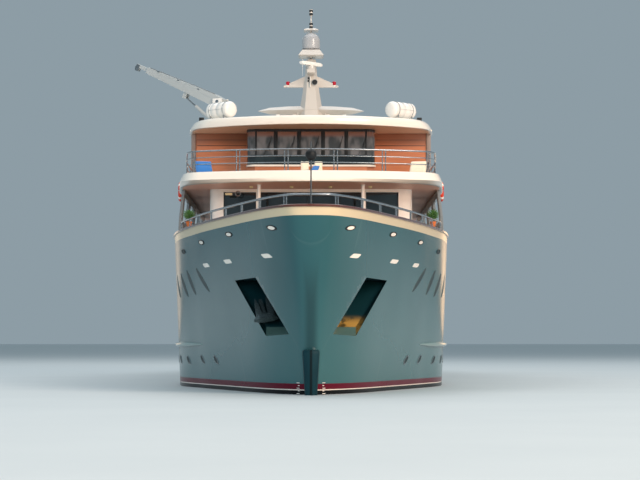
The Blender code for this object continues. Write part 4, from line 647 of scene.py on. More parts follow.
def keel_depth(station):
    rise = max(0.0, (station - RUN_START) / (TRANSOM_S - RUN_START)) ** RUN_POWER
    return DRAFT - (DRAFT - TRANSOM_DEPTH) * rise


def breadth(station, z, start=None):
    """Half breadth of the hull's side at a station and a height."""
    own = stem(z) if start is None else start
    share = max(0.0, min(1.0, (station - own) / ENTRANCE))
    rim, water = line_share(1, share), line_share(2, share)
    blend = min(1.0, max(z, 0.0) / RIM_Z) ** FLARE_POWER
    narrowing = AFT_NARROWING * max(0.0, (station - AFT_START) / (TRANSOM_S - AFT_START)) ** 2
    return HALF_BEAM * (water + (rim - water) * blend) * (1 - narrowing)


def station_at(x, z):
    """The station where the side at this height is x from the centreline."""
    low, high = stem(z), stem(z) + ENTRANCE
    for _ in range(30):
        middle = (low + high) / 2
        if breadth(middle, z) < x:
            low = middle
        else:
            high = middle
    return low


def side_point(share, z):
    start = stem(z)
    station = start + share * (TRANSOM_S - start)
    return Vector((breadth(station, z), at(station), z))


def bottom_point(share, depth):
    start = STEM_RAKE + FOREFOOT * depth ** 2
    station = start + share * (TRANSOM_S - start)
    half = breadth(station, 0.0, start) * max(0.0, 1 - depth ** BILGE_POWER) ** (1 / BILGE_POWER)
    keel = KEEL_HALF * min(1.0, (station - start) / 1.5)
    return Vector((max(half, keel), at(station), -depth * keel_depth(station)))


def rim_point(share):
    point = side_point(share, RIM_Z)
    station = point.y + LENGTH / 2
    return Vector((breadth(station, rim_z(station), 0.0), point.y, rim_z(station)))


def skin(station, z, side):
    """A point on the ship's side and the outward normal there."""
    step = 0.01
    here = Vector((breadth(station, z), at(station), z))
    aft = Vector((breadth(station + step, z), at(station + step), z))
    up = Vector((breadth(station, z + step), at(station), z + step))
    normal = (aft - here).cross(up - here).normalized()
    return mirrored([here, normal if normal.x >= 0 else -normal], side)


def mirrored(points, side):
    return [Vector((p.x * side, p.y, p.z)) for p in points]


def own_side(points):
    """Points kept on their own side of the centreline."""
    return [Vector((max(p.x, GAP), p.y, p.z)) for p in points]


def both_sides(points):
    """A route round the bow: starboard, reversed, then port."""
    return mirrored(reversed(points), -1) + list(points)


def mitred(points, distance, closed=False):
    """A route moved sideways in plan, mitred at its corners."""
    route = []
    last = len(points) - 1
    for k, here in enumerate(points):
        before = here - points[k - 1] if (k or closed) else points[1] - here
        after = points[k + 1 if k < last else 0] - here if (k < last or closed) else before
        n1, n2 = (Vector((-d.y, d.x, 0)).normalized() for d in (before, after))
        route.append(here + (n1 + n2) / max(1 + n1.dot(n2), 0.3) * distance)
    return route


def pocket_mouth(side):
    return [Vector((side * x, at(station_at(x, z)), z)) for x, z in POCKET_CORNERS]


def pocket_wall(side):
    mouth = pocket_mouth(side)
    top_y, low_y = mouth[0].y + POCKET_DEPTH, mouth[3].y + POCKET_DEPTH
    top_z, low_z = mouth[0].z, mouth[3].z + SILL_RISE
    return [Vector((p.x, top_y, top_z)) if k < 2 else Vector((p.x, low_y, low_z))
            for k, p in enumerate(mouth)]


def pocket_form(side):
    """The anchor pocket's space: walls drawn dark as painted shade, and a lighter sill as painted light on
    the recess's lit floor.
    """
    mouth = pocket_mouth(side)
    front = [Vector((p.x, at(POCKET_FRONT_S), p.z)) for p in mouth]
    bm = bmesh.new()
    grid = loft(bm, [front, mouth, pocket_wall(side)])
    for face in bm.faces:
        if len(face.verts) == 4 and {grid[1][2], grid[1][3], grid[2][2], grid[2][3]} == set(face.verts):
            face.material_index = 1
    return bm


HULL_COLUMNS = 120


def build_ship_side():
    """Hull, bulwarks and main deck in one smooth skin."""
    shares = [(k / HULL_COLUMNS) ** 2.1 for k in range(HULL_COLUMNS + 1)]
    depths = (1.0, 0.985, 0.96, 0.92, 0.86, 0.78, 0.68, 0.57, 0.46, 0.35, 0.25, 0.16, 0.08, 0.03)
    rows = [[bottom_point(u, d) for u in shares] for d in depths]
    rows += [[side_point(u, DECK_Z * k / 16) for u in shares] for k in range(17)]
    rim = [rim_point(u) for u in shares]
    for k in range(1, 7):
        rows.append([side_point(u, DECK_Z + k / 7 * (top.z - DECK_Z)) for u, top in zip(shares, rim)])
    rows.append(rim)
    # 0 topsides, 1 bulwark's inner face, 2 deck
    bands = [0] * len(rows) + [1, 1, 2, 2]
    foot = own_side([side_point(u, DECK_Z) for u in shares])
    rows += [own_side(mitred(route, BULWARK_THICK)) for route in (own_side(rim), foot)]
    rows += [[Vector((p.x * share, p.y, p.z)) for p in rows[-1]] for share in (0.5, 0)]
    rows.insert(0, [Vector((0, p.y, p.z)) for p in rows[0]])
    bm = bmesh.new()
    for side in (1, -1):
        grid = loft(bm, [mirrored(row, side) for row in rows], bands, closed_ring=False, caps=False)
        bm.faces.new([row[-1] for row in grid])
    bmesh.ops.remove_doubles(bm, verts=bm.verts, dist=0.0004)
    bmesh.ops.dissolve_degenerate(bm, edges=bm.edges, dist=0.00005)
    hull = make("ship_side", bm, [TOPSIDES, WHITE, DECK_TEAK, POCKET_SHADE_AND_RUST, SILL_PAINTED_LIGHT], smooth=28)
    forms = [("anchor_pocket", pocket_form(side), [POCKET_SHADE_AND_RUST, SILL_PAINTED_LIGHT]) for side in (1, -1)]
    for side in (1, -1):
        gate = bmesh.new()
        round_box(gate, (side * (HALF_BEAM - 0.4), at(GATE_S - GATE_WIDTH / 2), DECK_Z + GATE_SILL),
                  (side * (HALF_BEAM + 0.2), at(GATE_S + GATE_WIDTH / 2), 2.8), 0.002)
        forms.append(("gate_gap", gate, [WHITE]))
    cut_away(hull, forms)
    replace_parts(hull, "hull", "bulwark_port", "bulwark_starboard")
    bm = bmesh.new()
    y = at(TRANSOM_S)
    for side in (1, -1):
        round_box(bm, (side * 0.55, y - 0.05, DECK_Z - 0.02), (side * 1.90, y - 0.001, rim_z(10) - 0.001),
                  0.004)
    make("transom_bulwark", bm, TOPSIDES)


def build_fin():
    """Fin below the raked stem, with a sharp leading edge and a polished top."""
    levels = ((-1.00, 0.12, 1.75), (-0.60, 0.14, 1.15), (-0.20, 0.15, 0.82), (0.0, 0.163, 0.75),
              (0.30, 0.194, 0.725), (0.53, 0.224, 0.70), (0.565, 0.220, 0.705), (0.582, 0.205, 0.715),
              (0.588, 0.17, 0.735))
    rows = []
    for z, width, front in levels:
        half = width / 2
        port = [(half * 0.5, front + 0.012), (half * 0.92, front + 0.04), (half, front + 0.075),
                (half, max(1.6, front + 0.75))]
        plan = [(0, front), *port, *[(-x, s) for x, s in reversed(port)]]
        rows.append([(x, at(s), z) for x, s in plan])
    lofted("stem_fin", rows, [FIN_PAINT, STEEL], [0] * 7 + [1])


def leaning_outline(bm, side, place, run, rise, lean, rings, index, square=False, sides=32):
    """A fitting whose outline leans aft as it rises, like every opening in these topsides.

    place is (station, height), run and rise are the half sizes, and rings are (share of the outline,
    height above the skin).
    """
    power = 0.35 if square else 1.0
    rows = []
    for share, height in rings:
        row = []
        for a in circle(sides, 0.5):
            c, s = squared(math.cos(a), power) * share, squared(math.sin(a), power) * share
            on, out = skin(place[0] + run * c + lean * rise * s, place[1] + rise * s, side)
            row.append(on + out * height)
        rows.append(row)
    loft(bm, rows, index)


def long_light(bm, side, first, last, z, half, rings, index):
    """A long round-ended port between two stations.

    rings are (inset from the outline, height above the skin).
    """
    (p0, n0), (p1, n1) = skin(first, z, side), skin(last, z, side)
    normal = (n0 + n1).normalized()
    run = p1 - p0
    e1 = (run - normal * run.dot(normal)).normalized()
    e2 = normal.cross(e1)
    rows = []
    for inward, height in rings:
        row = []
        for a in circle(40, 0.5):
            centre, lift = (p1, n1) if math.cos(a) > 0 else (p0, n0)
            p = centre + (e1 * math.cos(a) + e2 * math.sin(a)) * (half - inward) + lift * height
            # Pulled onto the curved side, so that the long outline follows it
            on, out = skin(p.y + LENGTH / 2, p.z, side)
            row.append(on + out * height)
        rows.append(row)
    loft(bm, rows, index)


FAIRLEADS = ((0.495, 2.145, 0.11), (2.04, 2.143, 0.14), (3.435, 2.103, 0.145), (4.72, 2.03, 0.135),
             (8.2, 2.06, 0.12), (11.0, 2.06, 0.12), (16.4, 2.06, 0.12), (19.6, 2.06, 0.12))
FREEING_PORTS = ((0.815, 1.800, 0.12), (2.315, 1.787, 0.155), (3.385, 1.775, 0.15), (8.9, 1.85, 0.16),
                 (12.2, 1.85, 0.16), (17.4, 1.85, 0.16), (20.4, 1.85, 0.16))
SLOTS = (((4.010, 1.760), (3.480, 1.399)), ((4.650, 1.754), (4.295, 1.375)), ((5.15, 1.723), (4.80, 1.355)),
         ((5.75, 1.72), (5.40, 1.355)))
PORTHOLES = ((3.845, 0.428), (4.56, 0.431), (5.40, 0.413), (6.05, 0.419),
             *[(7.1 + 1.5 * k, 0.42) for k in range(9)])
LONG_LIGHTS = (8.6, 10.1, 11.6, 15.0, 16.5, 18.0)
# Ahead of this station the fairleads' and freeing ports' openings are painted cream as light seen through
# them, behind it dark as painted shade
LIT_END_S = 3.6


def build_side_fittings():
    """Fairleads, freeing ports, slot windows and portholes along both sides."""
    bm = bmesh.new()
    for side in (1, -1):
        # Material numbers: 0 steel, 1 black, 2 cream, 3 paint, 4 dark glass and painted hole shade, 5 port
        # glass, 6 satin steel; the fairleads' and freeing ports' openings are flat patches, cream as painted
        # light seen through them ahead of LIT_END_S and dark as painted shade behind it
        for s, z, run in FAIRLEADS:
            rings = ((1.0, -0.01), (1.0, 0.005), (0.86, 0.008), (0.68, 0.006), (0.64, 0.002), (0.4, 0.002),
                     (0.03, 0.002))
            leaning_outline(bm, side, (s, z), run, 0.036, 1.2, rings,
                            [1] * 3 + [2 if s < LIT_END_S else 4] * 3)
        for s, z, run in FREEING_PORTS:
            rings = ((1.0, -0.01), (1.0, 0.002), (0.93, 0.003), (0.90, 0.002), (0.6, 0.002), (0.3, 0.002),
                     (0.03, 0.002))
            leaning_outline(bm, side, (s, z), run, 0.030, 1.5, rings,
                            [3] * 2 + [2 if s < LIT_END_S else 4] * 4, square=True)
        for high, low in SLOTS:
            rise = (high[1] - low[1]) / 2
            rings = ((1.0, -0.01), (1.0, 0.002), (0.86, 0.003), (0.74, 0.002), (0.3, 0.002), (0.03, 0.002))
            leaning_outline(bm, side, ((high[0] + low[0]) / 2, (high[1] + low[1]) / 2), 0.095, rise,
                            (high[0] - low[0]) / (2 * rise), rings, [3] + [4] * 4, sides=40)
        for spot in PORTHOLES:
            rings = ((1.0, -0.01), (1.0, 0.004), (0.93, 0.007), (0.80, 0.006), (0.74, 0.001), (0.35, 0.001),
                     (0.03, 0.001))
            leaning_outline(bm, side, spot, 0.080, 0.066, 0.8, rings, [6] * 3 + [4] * 3)
        for first in LONG_LIGHTS:
            rings = ((0, -0.012), (0, 0.004), (0.006, 0.006), (0.014, 0.002), (0.016, 0.001))
            long_light(bm, side, first, first + 0.9, 1.42, 0.085, rings, [3] * 3 + [5])
    make("side_fittings", bm, [STEEL, BLACK, CREAM, RUB_PAINT, DARK_GLASS_AND_HOLE_SHADE, PORT_GLASS, SATIN_STEEL],
         smooth=30)


def build_draught_marks():
    """Plain draught ticks on both sides of the fin, close above the water."""
    bm = bmesh.new()
    for side in (1, -1):
        for z, long in ((0.155, 0.030), (0.120, 0.018), (0.085, 0.030), (0.050, 0.018), (0.015, 0.030)):
            s = station_at(0.15, z)
            on, out = skin(s, z, side)
            on2, _ = skin(s + long * 1.6, z, side)
            up, lift = UP * 0.005, out * 0.001
            quad = [on + lift - up, on2 + lift - up, on2 + lift + up, on + lift + up]
            loft(bm, [[p - out * 0.003 for p in quad], quad])
    make("draught_marks", bm, WHITE, smooth=None)


def build_caps():
    """Varnished teak caps with rounded edges, one length on each side."""
    route = own_side([rim_point((k / 90) ** 1.9 * CAP_END_S / TRANSOM_S) for k in range(91)])
    section = ((0.0, 0.0), (-0.003, 0.008), (-0.002, 0.026), (0.006, CAP_THICK),
               (CAP_WIDTH - 0.006, CAP_THICK), (CAP_WIDTH + 0.002, 0.026), (CAP_WIDTH + 0.003, 0.008),
               (CAP_WIDTH, 0.0))
    lines = [own_side(mitred(route, across - CAP_OVERHANG)) for across, _ in section]
    for side, word in SIDES:
        rows = [[(side * p.x, p.y, p.z + GAP + up) for p, (_, up) in zip(points, section)]
                for points in zip(*lines)]
        cap = lofted("cap_" + word, rows, CAP_TEAK)
        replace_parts(cap, "cap_rail_" + word)


def build_rub_rails():
    """Half-round painted guards that taper to a point in front."""
    for side, word in SIDES:
        rows = []
        for k in range(97):
            s = 4.42 + (TRANSOM_S - 4.45) * (k / 96) ** 1.4
            grow = min(1.0, (s - 4.36) / 0.9) ** 0.6
            on, out = skin(s, 0.65, side)
            row = []
            for j in range(9):
                a = math.radians(-90 + 180 * j / 8)
                row.append(on + out * (math.cos(a) * 0.062 * grow - 0.004) + UP * math.sin(a) * 0.037 * grow)
            row += [on - out * 0.02 + UP * 0.02 * grow * sign for sign in (1, -1)]
            rows.append(row)
        guard = lofted("rub_guard_" + word, rows, RUB_PAINT)
        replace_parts(guard, "rub_rail_" + word)


# Guard rails, made by Geometry Nodes along a route

def guard_rail_tree():
    """A top rail, lower rails at a spacing, and pairs of posts with foot discs at a pitch along a route."""
    tree = bpy.data.node_groups.new("guard_rail", "GeometryNodeTree")
    tree.interface.new_socket("Route", in_out="INPUT", socket_type="NodeSocketGeometry")
    for name, default in (("Top radius", 0.011), ("Lower radius", 0.007), ("Rail spacing", 0.1),
                          ("Post radius", 0.008), ("Post height", 0.3), ("Post pitch", 0.72),
                          ("Pair gap", 0.045)):
        tree.interface.new_socket(name, in_out="INPUT", socket_type="NodeSocketFloat").default_value = default
    tree.interface.new_socket("Lower rails", in_out="INPUT", socket_type="NodeSocketInt").default_value = 2
    tree.interface.new_socket("Steel", in_out="INPUT", socket_type="NodeSocketMaterial")
    tree.interface.new_socket("Railing", in_out="OUTPUT", socket_type="NodeSocketGeometry")
    given = tree.nodes.new("NodeGroupInput").outputs
    route = add(tree, "GeometryNodeMeshToCurve", {"Mesh": given["Route"]}).outputs["Curve"]

    def swept(radius):
        ring = add(tree, "GeometryNodeCurvePrimitiveCircle",
                   {"Resolution": 10, "Radius": radius}).outputs["Curve"]
        return add(tree, "GeometryNodeCurveToMesh",
                   {"Curve": route, "Profile Curve": ring, "Fill Caps": True}).outputs["Mesh"]

    def vector(x, z):
        return add(tree, "ShaderNodeCombineXYZ", {"X": x, "Z": z}).outputs["Vector"]

    def cylinder(vertices, radius, depth):
        return add(tree, "GeometryNodeMeshCylinder",
                   {"Vertices": vertices, "Radius": radius, "Depth": depth}).outputs["Mesh"]

    drop = vector(0.0, sums(tree, "MULTIPLY", given["Rail spacing"], -1.0))
    line = add(tree, "GeometryNodeMeshLine",
               {"Count": given["Lower rails"], "Start Location": drop, "Offset": drop})
    lower = add(tree, "GeometryNodeInstanceOnPoints", {"Points": line.outputs["Mesh"],
                "Instance": swept(given["Lower radius"])}).outputs["Instances"]
    post = cylinder(10, given["Post radius"], given["Post height"])
    foot = cylinder(12, sums(tree, "MULTIPLY", given["Post radius"], 2.1), 0.008)
    post_drop = sums(tree, "MULTIPLY", given["Post height"], -0.5)
    foot_drop = sums(tree, "SUBTRACT", 0.005, given["Post height"])
    pair = tree.nodes.new("GeometryNodeJoinGeometry")
    for sign in (0.5, -0.5):
        shift = sums(tree, "MULTIPLY", given["Pair gap"], sign)
        for form, low in ((post, post_drop), (foot, foot_drop)):
            moved_form = add(tree, "GeometryNodeTransform",
                             {"Geometry": form, "Translation": vector(shift, low)})
            tree.links.new(moved_form.outputs[0], pair.inputs[0])
    points = add(tree, "GeometryNodeCurveToPoints", {"Curve": route, "Length": given["Post pitch"]},
                 mode="LENGTH")
    turn = add(tree, "FunctionNodeAlignRotationToVector", {"Vector": points.outputs["Tangent"]}, axis="X",
               pivot_axis="Z")
    posts = add(tree, "GeometryNodeInstanceOnPoints",
                {"Points": points.outputs["Points"], "Instance": pair.outputs[0],
                 "Rotation": turn.outputs["Rotation"]}).outputs["Instances"]
    joined = tree.nodes.new("GeometryNodeJoinGeometry")
    for form in (swept(given["Top radius"]), lower, posts):
        tree.links.new(form, joined.inputs[0])
    whole = add(tree, "GeometryNodeRealizeInstances", {"Geometry": joined.outputs[0]}).outputs[0]
    soft = add(tree, "GeometryNodeSetShadeSmooth", {"Geometry": whole}).outputs[0]
    finished = add(tree, "GeometryNodeSetMaterial", {"Geometry": soft, "Material": given["Steel"]}).outputs[0]
    add(tree, "NodeGroupOutput", {"Railing": finished})
    return tree


GUARD_RAIL = guard_rail_tree()


def route_length(points):
    return sum((Vector(b) - Vector(a)).length for a, b in zip(points, points[1:]))


def guard_rail(name, node, points, near_pitch, odd=True, **sizes):
    """Runs the guard rail tree along a route with evenly spaced posts; the rail replaces the node."""
    mesh = bpy.data.meshes.new(name)
    mesh.from_pydata([tuple(p) for p in points], [(k, k + 1) for k in range(len(points) - 1)], [])
    obj = bpy.data.objects.new(name, mesh)
    bpy.context.scene.collection.objects.link(obj)
    spans = max(1, round(route_length(points) / near_pitch))
    if odd and spans % 2 == 0:
        spans += 1
    values = {"Post pitch": route_length(points) / spans - 0.0001, "Steel": STEEL}
    values.update({key.replace("_", " "): value for key, value in sizes.items()})
    mod = obj.modifiers.new("Guard rail", "NODES")
    mod.node_group = GUARD_RAIL
    for item in GUARD_RAIL.interface.items_tree:
        if item.in_out == "INPUT" and item.name in values:
            mod[item.identifier] = values[item.name]
    apply_modifiers(obj).set_sharp_from_angle(angle=math.radians(40))
    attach(obj, "ship")
    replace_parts(obj, node)


SIDE_LEAN = 0.066
AFT_CORNER = 0.12


def nose_outline(half, front, sag, corner, aft, full):
    """Plan of a deck: curved front, rounded corners, and sides that run in ahead of the full beam."""
    fine = 14
    flat = half - corner
    slope = 2 * sag / flat
    points = [(flat * k / fine, front + sag * (k / fine) ** 2) for k in range(fine + 1)]
    p0 = Vector((flat, front + sag))
    wide = (half - SIDE_LEAN * (full - front - sag + slope * flat)) / (1 - SIDE_LEAN * slope)
    p1 = Vector((wide, front + sag + slope * (wide - flat)))
    reach = 1.5 * (wide - flat)
    p2 = Vector((wide + SIDE_LEAN * reach, p1.y + reach))
    for k in range(1, fine + 1):
        t = k / fine
        points.append(tuple(p0 * (1 - t) ** 2 + p1 * 2 * t * (1 - t) + p2 * t * t))
    points.append((half, full))
    for k in range(6):
        a = math.radians(90 * k / 5)
        points.append((half - AFT_CORNER * (1 - math.cos(a)), aft - AFT_CORNER * (1 - math.sin(a))))
    port = [(x, at(s)) for x, s in points]
    return port + [(-x, y) for x, y in reversed(port)][:-1]


def inset(outline, distance):
    """The outline moved inwards; beyond the corners' radius it shrinks towards its middle instead."""
    near = min(distance, AFT_CORNER - 0.01)
    points = [p.to_2d() for p in mitred([Vector((*p, 0)) for p in outline], near, closed=True)]
    if distance > near:
        low, high = ([pick(p[k] for p in points) for k in (0, 1)] for pick in (min, max))
        middle = [(low[k] + high[k]) / 2 for k in (0, 1)]
        scale = [1 - 2 * (distance - near) / (high[k] - low[k]) for k in (0, 1)]
        points = [Vector([middle[k] + (p[k] - middle[k]) * scale[k] for k in (0, 1)]) for p in points]
    return points


UPPER_PLAN = nose_outline(2.12, 4.6, 0.35, 0.42, 19.2, 7.1)
UNDER_PLAN = nose_outline(2.12, 4.6, 0.42, 0.56, 19.2, 7.1)
ROOF_PLAN = nose_outline(2.09, 7.4, 0.62, 0.36, 17.6, 9.3)
CROWN_PLAN = nose_outline(2.02, 7.41, 0.50, 0.44, 17.55, 9.3)
EDGE_LINE = 0.115
# Profiles of (inset, height), from the underside round the edge to the top
UPPER_DECK_PROFILE = (
    (0.16, 3.0705), (0.05, 3.0705), (0.018, 3.0725), (0.004, 3.080), (0.0, 3.092), (0.004, 3.120),
    (0.016, 3.155), (0.032, 3.195), (0.046, 3.228), (0.054, 3.239), (0.066, 3.244), (0.132, 3.244),
    (0.142, 3.24), (0.145, 3.232), (0.147, FLOOR_Z),
)
ROOF_PROFILE = (
    (0.30, 4.2405), (0.10, 4.2405), (0.06, 4.234), (0.02, 4.232), (0.004, 4.240), (0.0, 4.255),
    (0.0, 4.315), (0.004, 4.345), (0.014, 4.368), (0.03, 4.382), (0.06, 4.386), (0.10, 4.380),
    (0.16, 4.3705), (0.5, 4.3705),
)


def slab(name, plan, profile, materials, index, node, other, low, high):
    """A deck through its profile of (inset, height); between two heights its plan changes to the other."""
    rows = []
    for distance, z in profile:
        first, second = inset(plan, distance), inset(other, distance)
        share = min(1.0, max(0.0, (z - low) / (high - low)))
        rows.append([(*first[k].lerp(second[k], share), z) for k in range(len(plan))])
    piece = lofted(name, rows, materials, index, smooth=30)
    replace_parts(piece, node)


def build_upper_deck():
    """Upper deck: ceiling tinted rose as painted bounce light, a haze grey strip behind the fascia as painted
    shade, cream fascia squarer above than below, raised edge and a teak floor.
    """
    # Bands: ceiling, a haze grey strip where the underside meets the fascia as painted shade of the soffit,
    # the cream fascia and edge, then the teak floor
    slab("upper_deck_slab", UNDER_PLAN, UPPER_DECK_PROFILE, [CREAM, CEILING_PAINTED_BOUNCE, DECK_TEAK, HAZE_GREY],
         [1, 3] + [0] * 11 + [2], "upper_deck", UPPER_PLAN, 3.0705, 3.12)


def build_roof():
    """Roof: underside tinted peach as painted bounce light, rounded cream edge and a cambered top."""
    slab("roof_slab", ROOF_PLAN, ROOF_PROFILE, [CREAM, CEILING_PAINTED_BOUNCE, ROOF_SOFFIT_PAINTED_BOUNCE], [2, 2] + [0] * 11, "roof",
         CROWN_PLAN, 4.262, 4.382)


RAIL_TOP = 3.562
RAIL_FOOT = 3.243
RAIL_AFT_S = 8.8
UPPER_RAIL = {"Top_radius": 0.0125, "Lower_radius": 0.0075, "Rail_spacing": 0.099,
              "Post_height": RAIL_TOP - RAIL_FOOT, "Post_radius": 0.009, "Pair_gap": 0.052}
BOW_RAIL = {"Top_radius": 0.0155, "Lower_rails": 0, "Post_height": 0.1245, "Post_radius": 0.0085,
            "Pair_gap": 0.05}


def build_rails():
    """Upper guard rail with paired posts, aft rails, and the low rail on the bow's cap."""
    line = inset(UPPER_PLAN, EDGE_LINE)
    port = [Vector((p.x, p.y, RAIL_TOP)) for p in line[:(len(line) + 1) // 2] if p.y < at(RAIL_AFT_S)]
    side_x = port[-1].x
    port.append(Vector((side_x, at(RAIL_AFT_S), RAIL_TOP)))
    guard_rail("upper_guard_rail", "upper_rail", mirrored(reversed(port[1:]), -1) + port, 0.72, **UPPER_RAIL)
    aft = at(19.2) - EDGE_LINE
    for side, word in SIDES:
        plan = ((side_x, at(16.52)), (side_x, aft - 0.06), (side_x - 0.02, aft - 0.02), (side_x - 0.06, aft),
                (0.30, aft))
        route = [(side * x, y, RAIL_TOP) for x, y in plan]
        guard_rail("aft_guard_rail_" + word, "aft_rail_" + word, route, 0.93, odd=False, **UPPER_RAIL)
    stations = (0.04, 0.07, 0.12, 0.2, 0.3, 0.42, 0.6, 0.8, 1.0, 1.3, 1.6, 2.0, 2.4, 2.8, 3.3, 3.8, 4.2,
                4.6, 5.0)
    centre = own_side(mitred([rim_point(s / TRANSOM_S) for s in stations], CAP_WIDTH / 2 - CAP_OVERHANG))
    bow = both_sides([p + UP * (CAP_THICK + 0.125) for p in centre])
    guard_rail("bow_guard_rail", "bow_rail", bow, 0.78, **BOW_RAIL)


# Houses

def arc_path(half, corner, front, side_end):
    """Plan path from port side round the bridge's front to starboard."""
    path = [(half, side_end)]
    for k in range(11):
        a = math.radians(9 * k)
        path.append((half - corner + corner * math.cos(a), front + corner - corner * math.sin(a)))
    return path + [(-x, y) for x, y in reversed(path)]


def strip(name, path, out, low, high, depth, material):
    """A thin upright strip along a plan path, standing out from it."""
    points = [Vector((x, y, 0)) for x, y in path]
    inner, outer = mitred(points, out - depth), mitred(points, out)
    rows = [[(*p.xy, z) for p, z in ((a, low), (b, low), (b, high), (a, high))] for a, b in zip(inner, outer)]
    return lofted(name, rows, material, smooth=30)


def build_bridge():
    """Bridge front: wrap-round glass over a dark dado, dark mullions, a cream ledge and wipers."""
    dress("upper_house", COPPER, 0.004)
    front, half = at(BRIDGE_FRONT_S), 1.069
    path = arc_path(half, 0.15, front - 0.003, front + 0.205)
    glass = strip("bridge_screen_glass", path, 0.005, 3.800, 4.222, 0.012, BRIDGE_GLASS)
    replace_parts(glass, "bridge_glass")
    strip("bridge_dado", path, 0.008, 3.642, 3.806, 0.014, PORT_GLASS)
    strip("bridge_head", path, 0.012, 4.196, 4.238, 0.016, DARK_TRIM)
    strip("bridge_ledge", path, 0.022, 3.612, 3.643, 0.028, CREAM)
    bm = bmesh.new()
    for x in (-0.5905, -0.2005, 0.2005, 0.5905):
        round_box(bm, (x - 0.0335, front - 0.016, 3.806), (x + 0.0335, front + 0.004, 4.2), 0.004)
    for side in (1, -1):
        round_box(bm, (side * 0.905, front - 0.014, 3.806), (side * 0.935, front + 0.004, 4.2), 0.003)
    make("bridge_mullions", bm, DARK_TRIM)
    bm = bmesh.new()
    for x in (-0.79, -0.40, 0.0, 0.40, 0.79):
        rod(bm, (x, front - 0.024, 3.80), (x + 0.10, front - 0.020, 4.02), 0.004, 8)
        rod(bm, (x + 0.07, front - 0.018, 3.88), (x + 0.13, front - 0.016, 4.12), 0.005, 8)
        ball(bm, (x, front - 0.016, 3.80), 0.014, 12, 8)
    make("bridge_wipers", bm, BLACK)
    wall = at(9.0)
    bm = bmesh.new()
    for side in (1, -1):
        for z, tall in ((4.028, 0.010), (4.128, 0.006), (3.70, 0.004)):
            round_box(bm, (side * 1.10, wall - 0.005, z), (side * 1.95, wall + 0.002, z + tall), 0.001)
    make("wall_seams", bm, DARK_TRIM)
    bm = bmesh.new()
    for side in (1, -1):
        round_box(bm, (side * 1.968, wall - 0.03, 3.2445), (side * 2.045, wall + 0.34, 4.240), 0.012,
                  segments=3)
    make("house_corner_posts", bm, POST_PAINTED_SHADE)
    for _, word in SIDES:
        dress("cabin_glass_" + word, PORT_GLASS, 0)
        dress("bridge_door_" + word, WHITE, 0.004)
    dress("sun_deck_door", WHITE, 0.004)


FRAME_WIDE = 0.014
FRAME_PROUD = 0.006
WINDOW_POST = 0.16


def window_frames(name, places, material):
    """Rubber or metal frames round openings: (axis, plane, low u, high u, low z, high z, outward sign)."""
    wide = FRAME_WIDE
    bm = bmesh.new()
    for axis, plane, u0, u1, z0, z1, out in places:
        near, far = plane - out * 0.004, plane + out * FRAME_PROUD
        for a, b, c, d in ((u0 - wide, u1 + wide, z0 - wide, z0), (u0 - wide, u1 + wide, z1, z1 + wide),
                           (u0 - wide, u0, z0, z1), (u1, u1 + wide, z0, z1)):
            low, high = ((a, near, c), (b, far, d)) if axis == "y" else ((near, a, c), (far, b, d))
            round_box(bm, low, high, 0.002, segments=1)
    make(name, bm, material)


def window_runs(first, last, count):
    """The y range of each window in an even row between two stations."""
    width = (last - first - WINDOW_POST * (count - 1)) / count
    starts = [at(first + k * (width + WINDOW_POST)) for k in range(count)]
    return [(start, start + width) for start in starts]


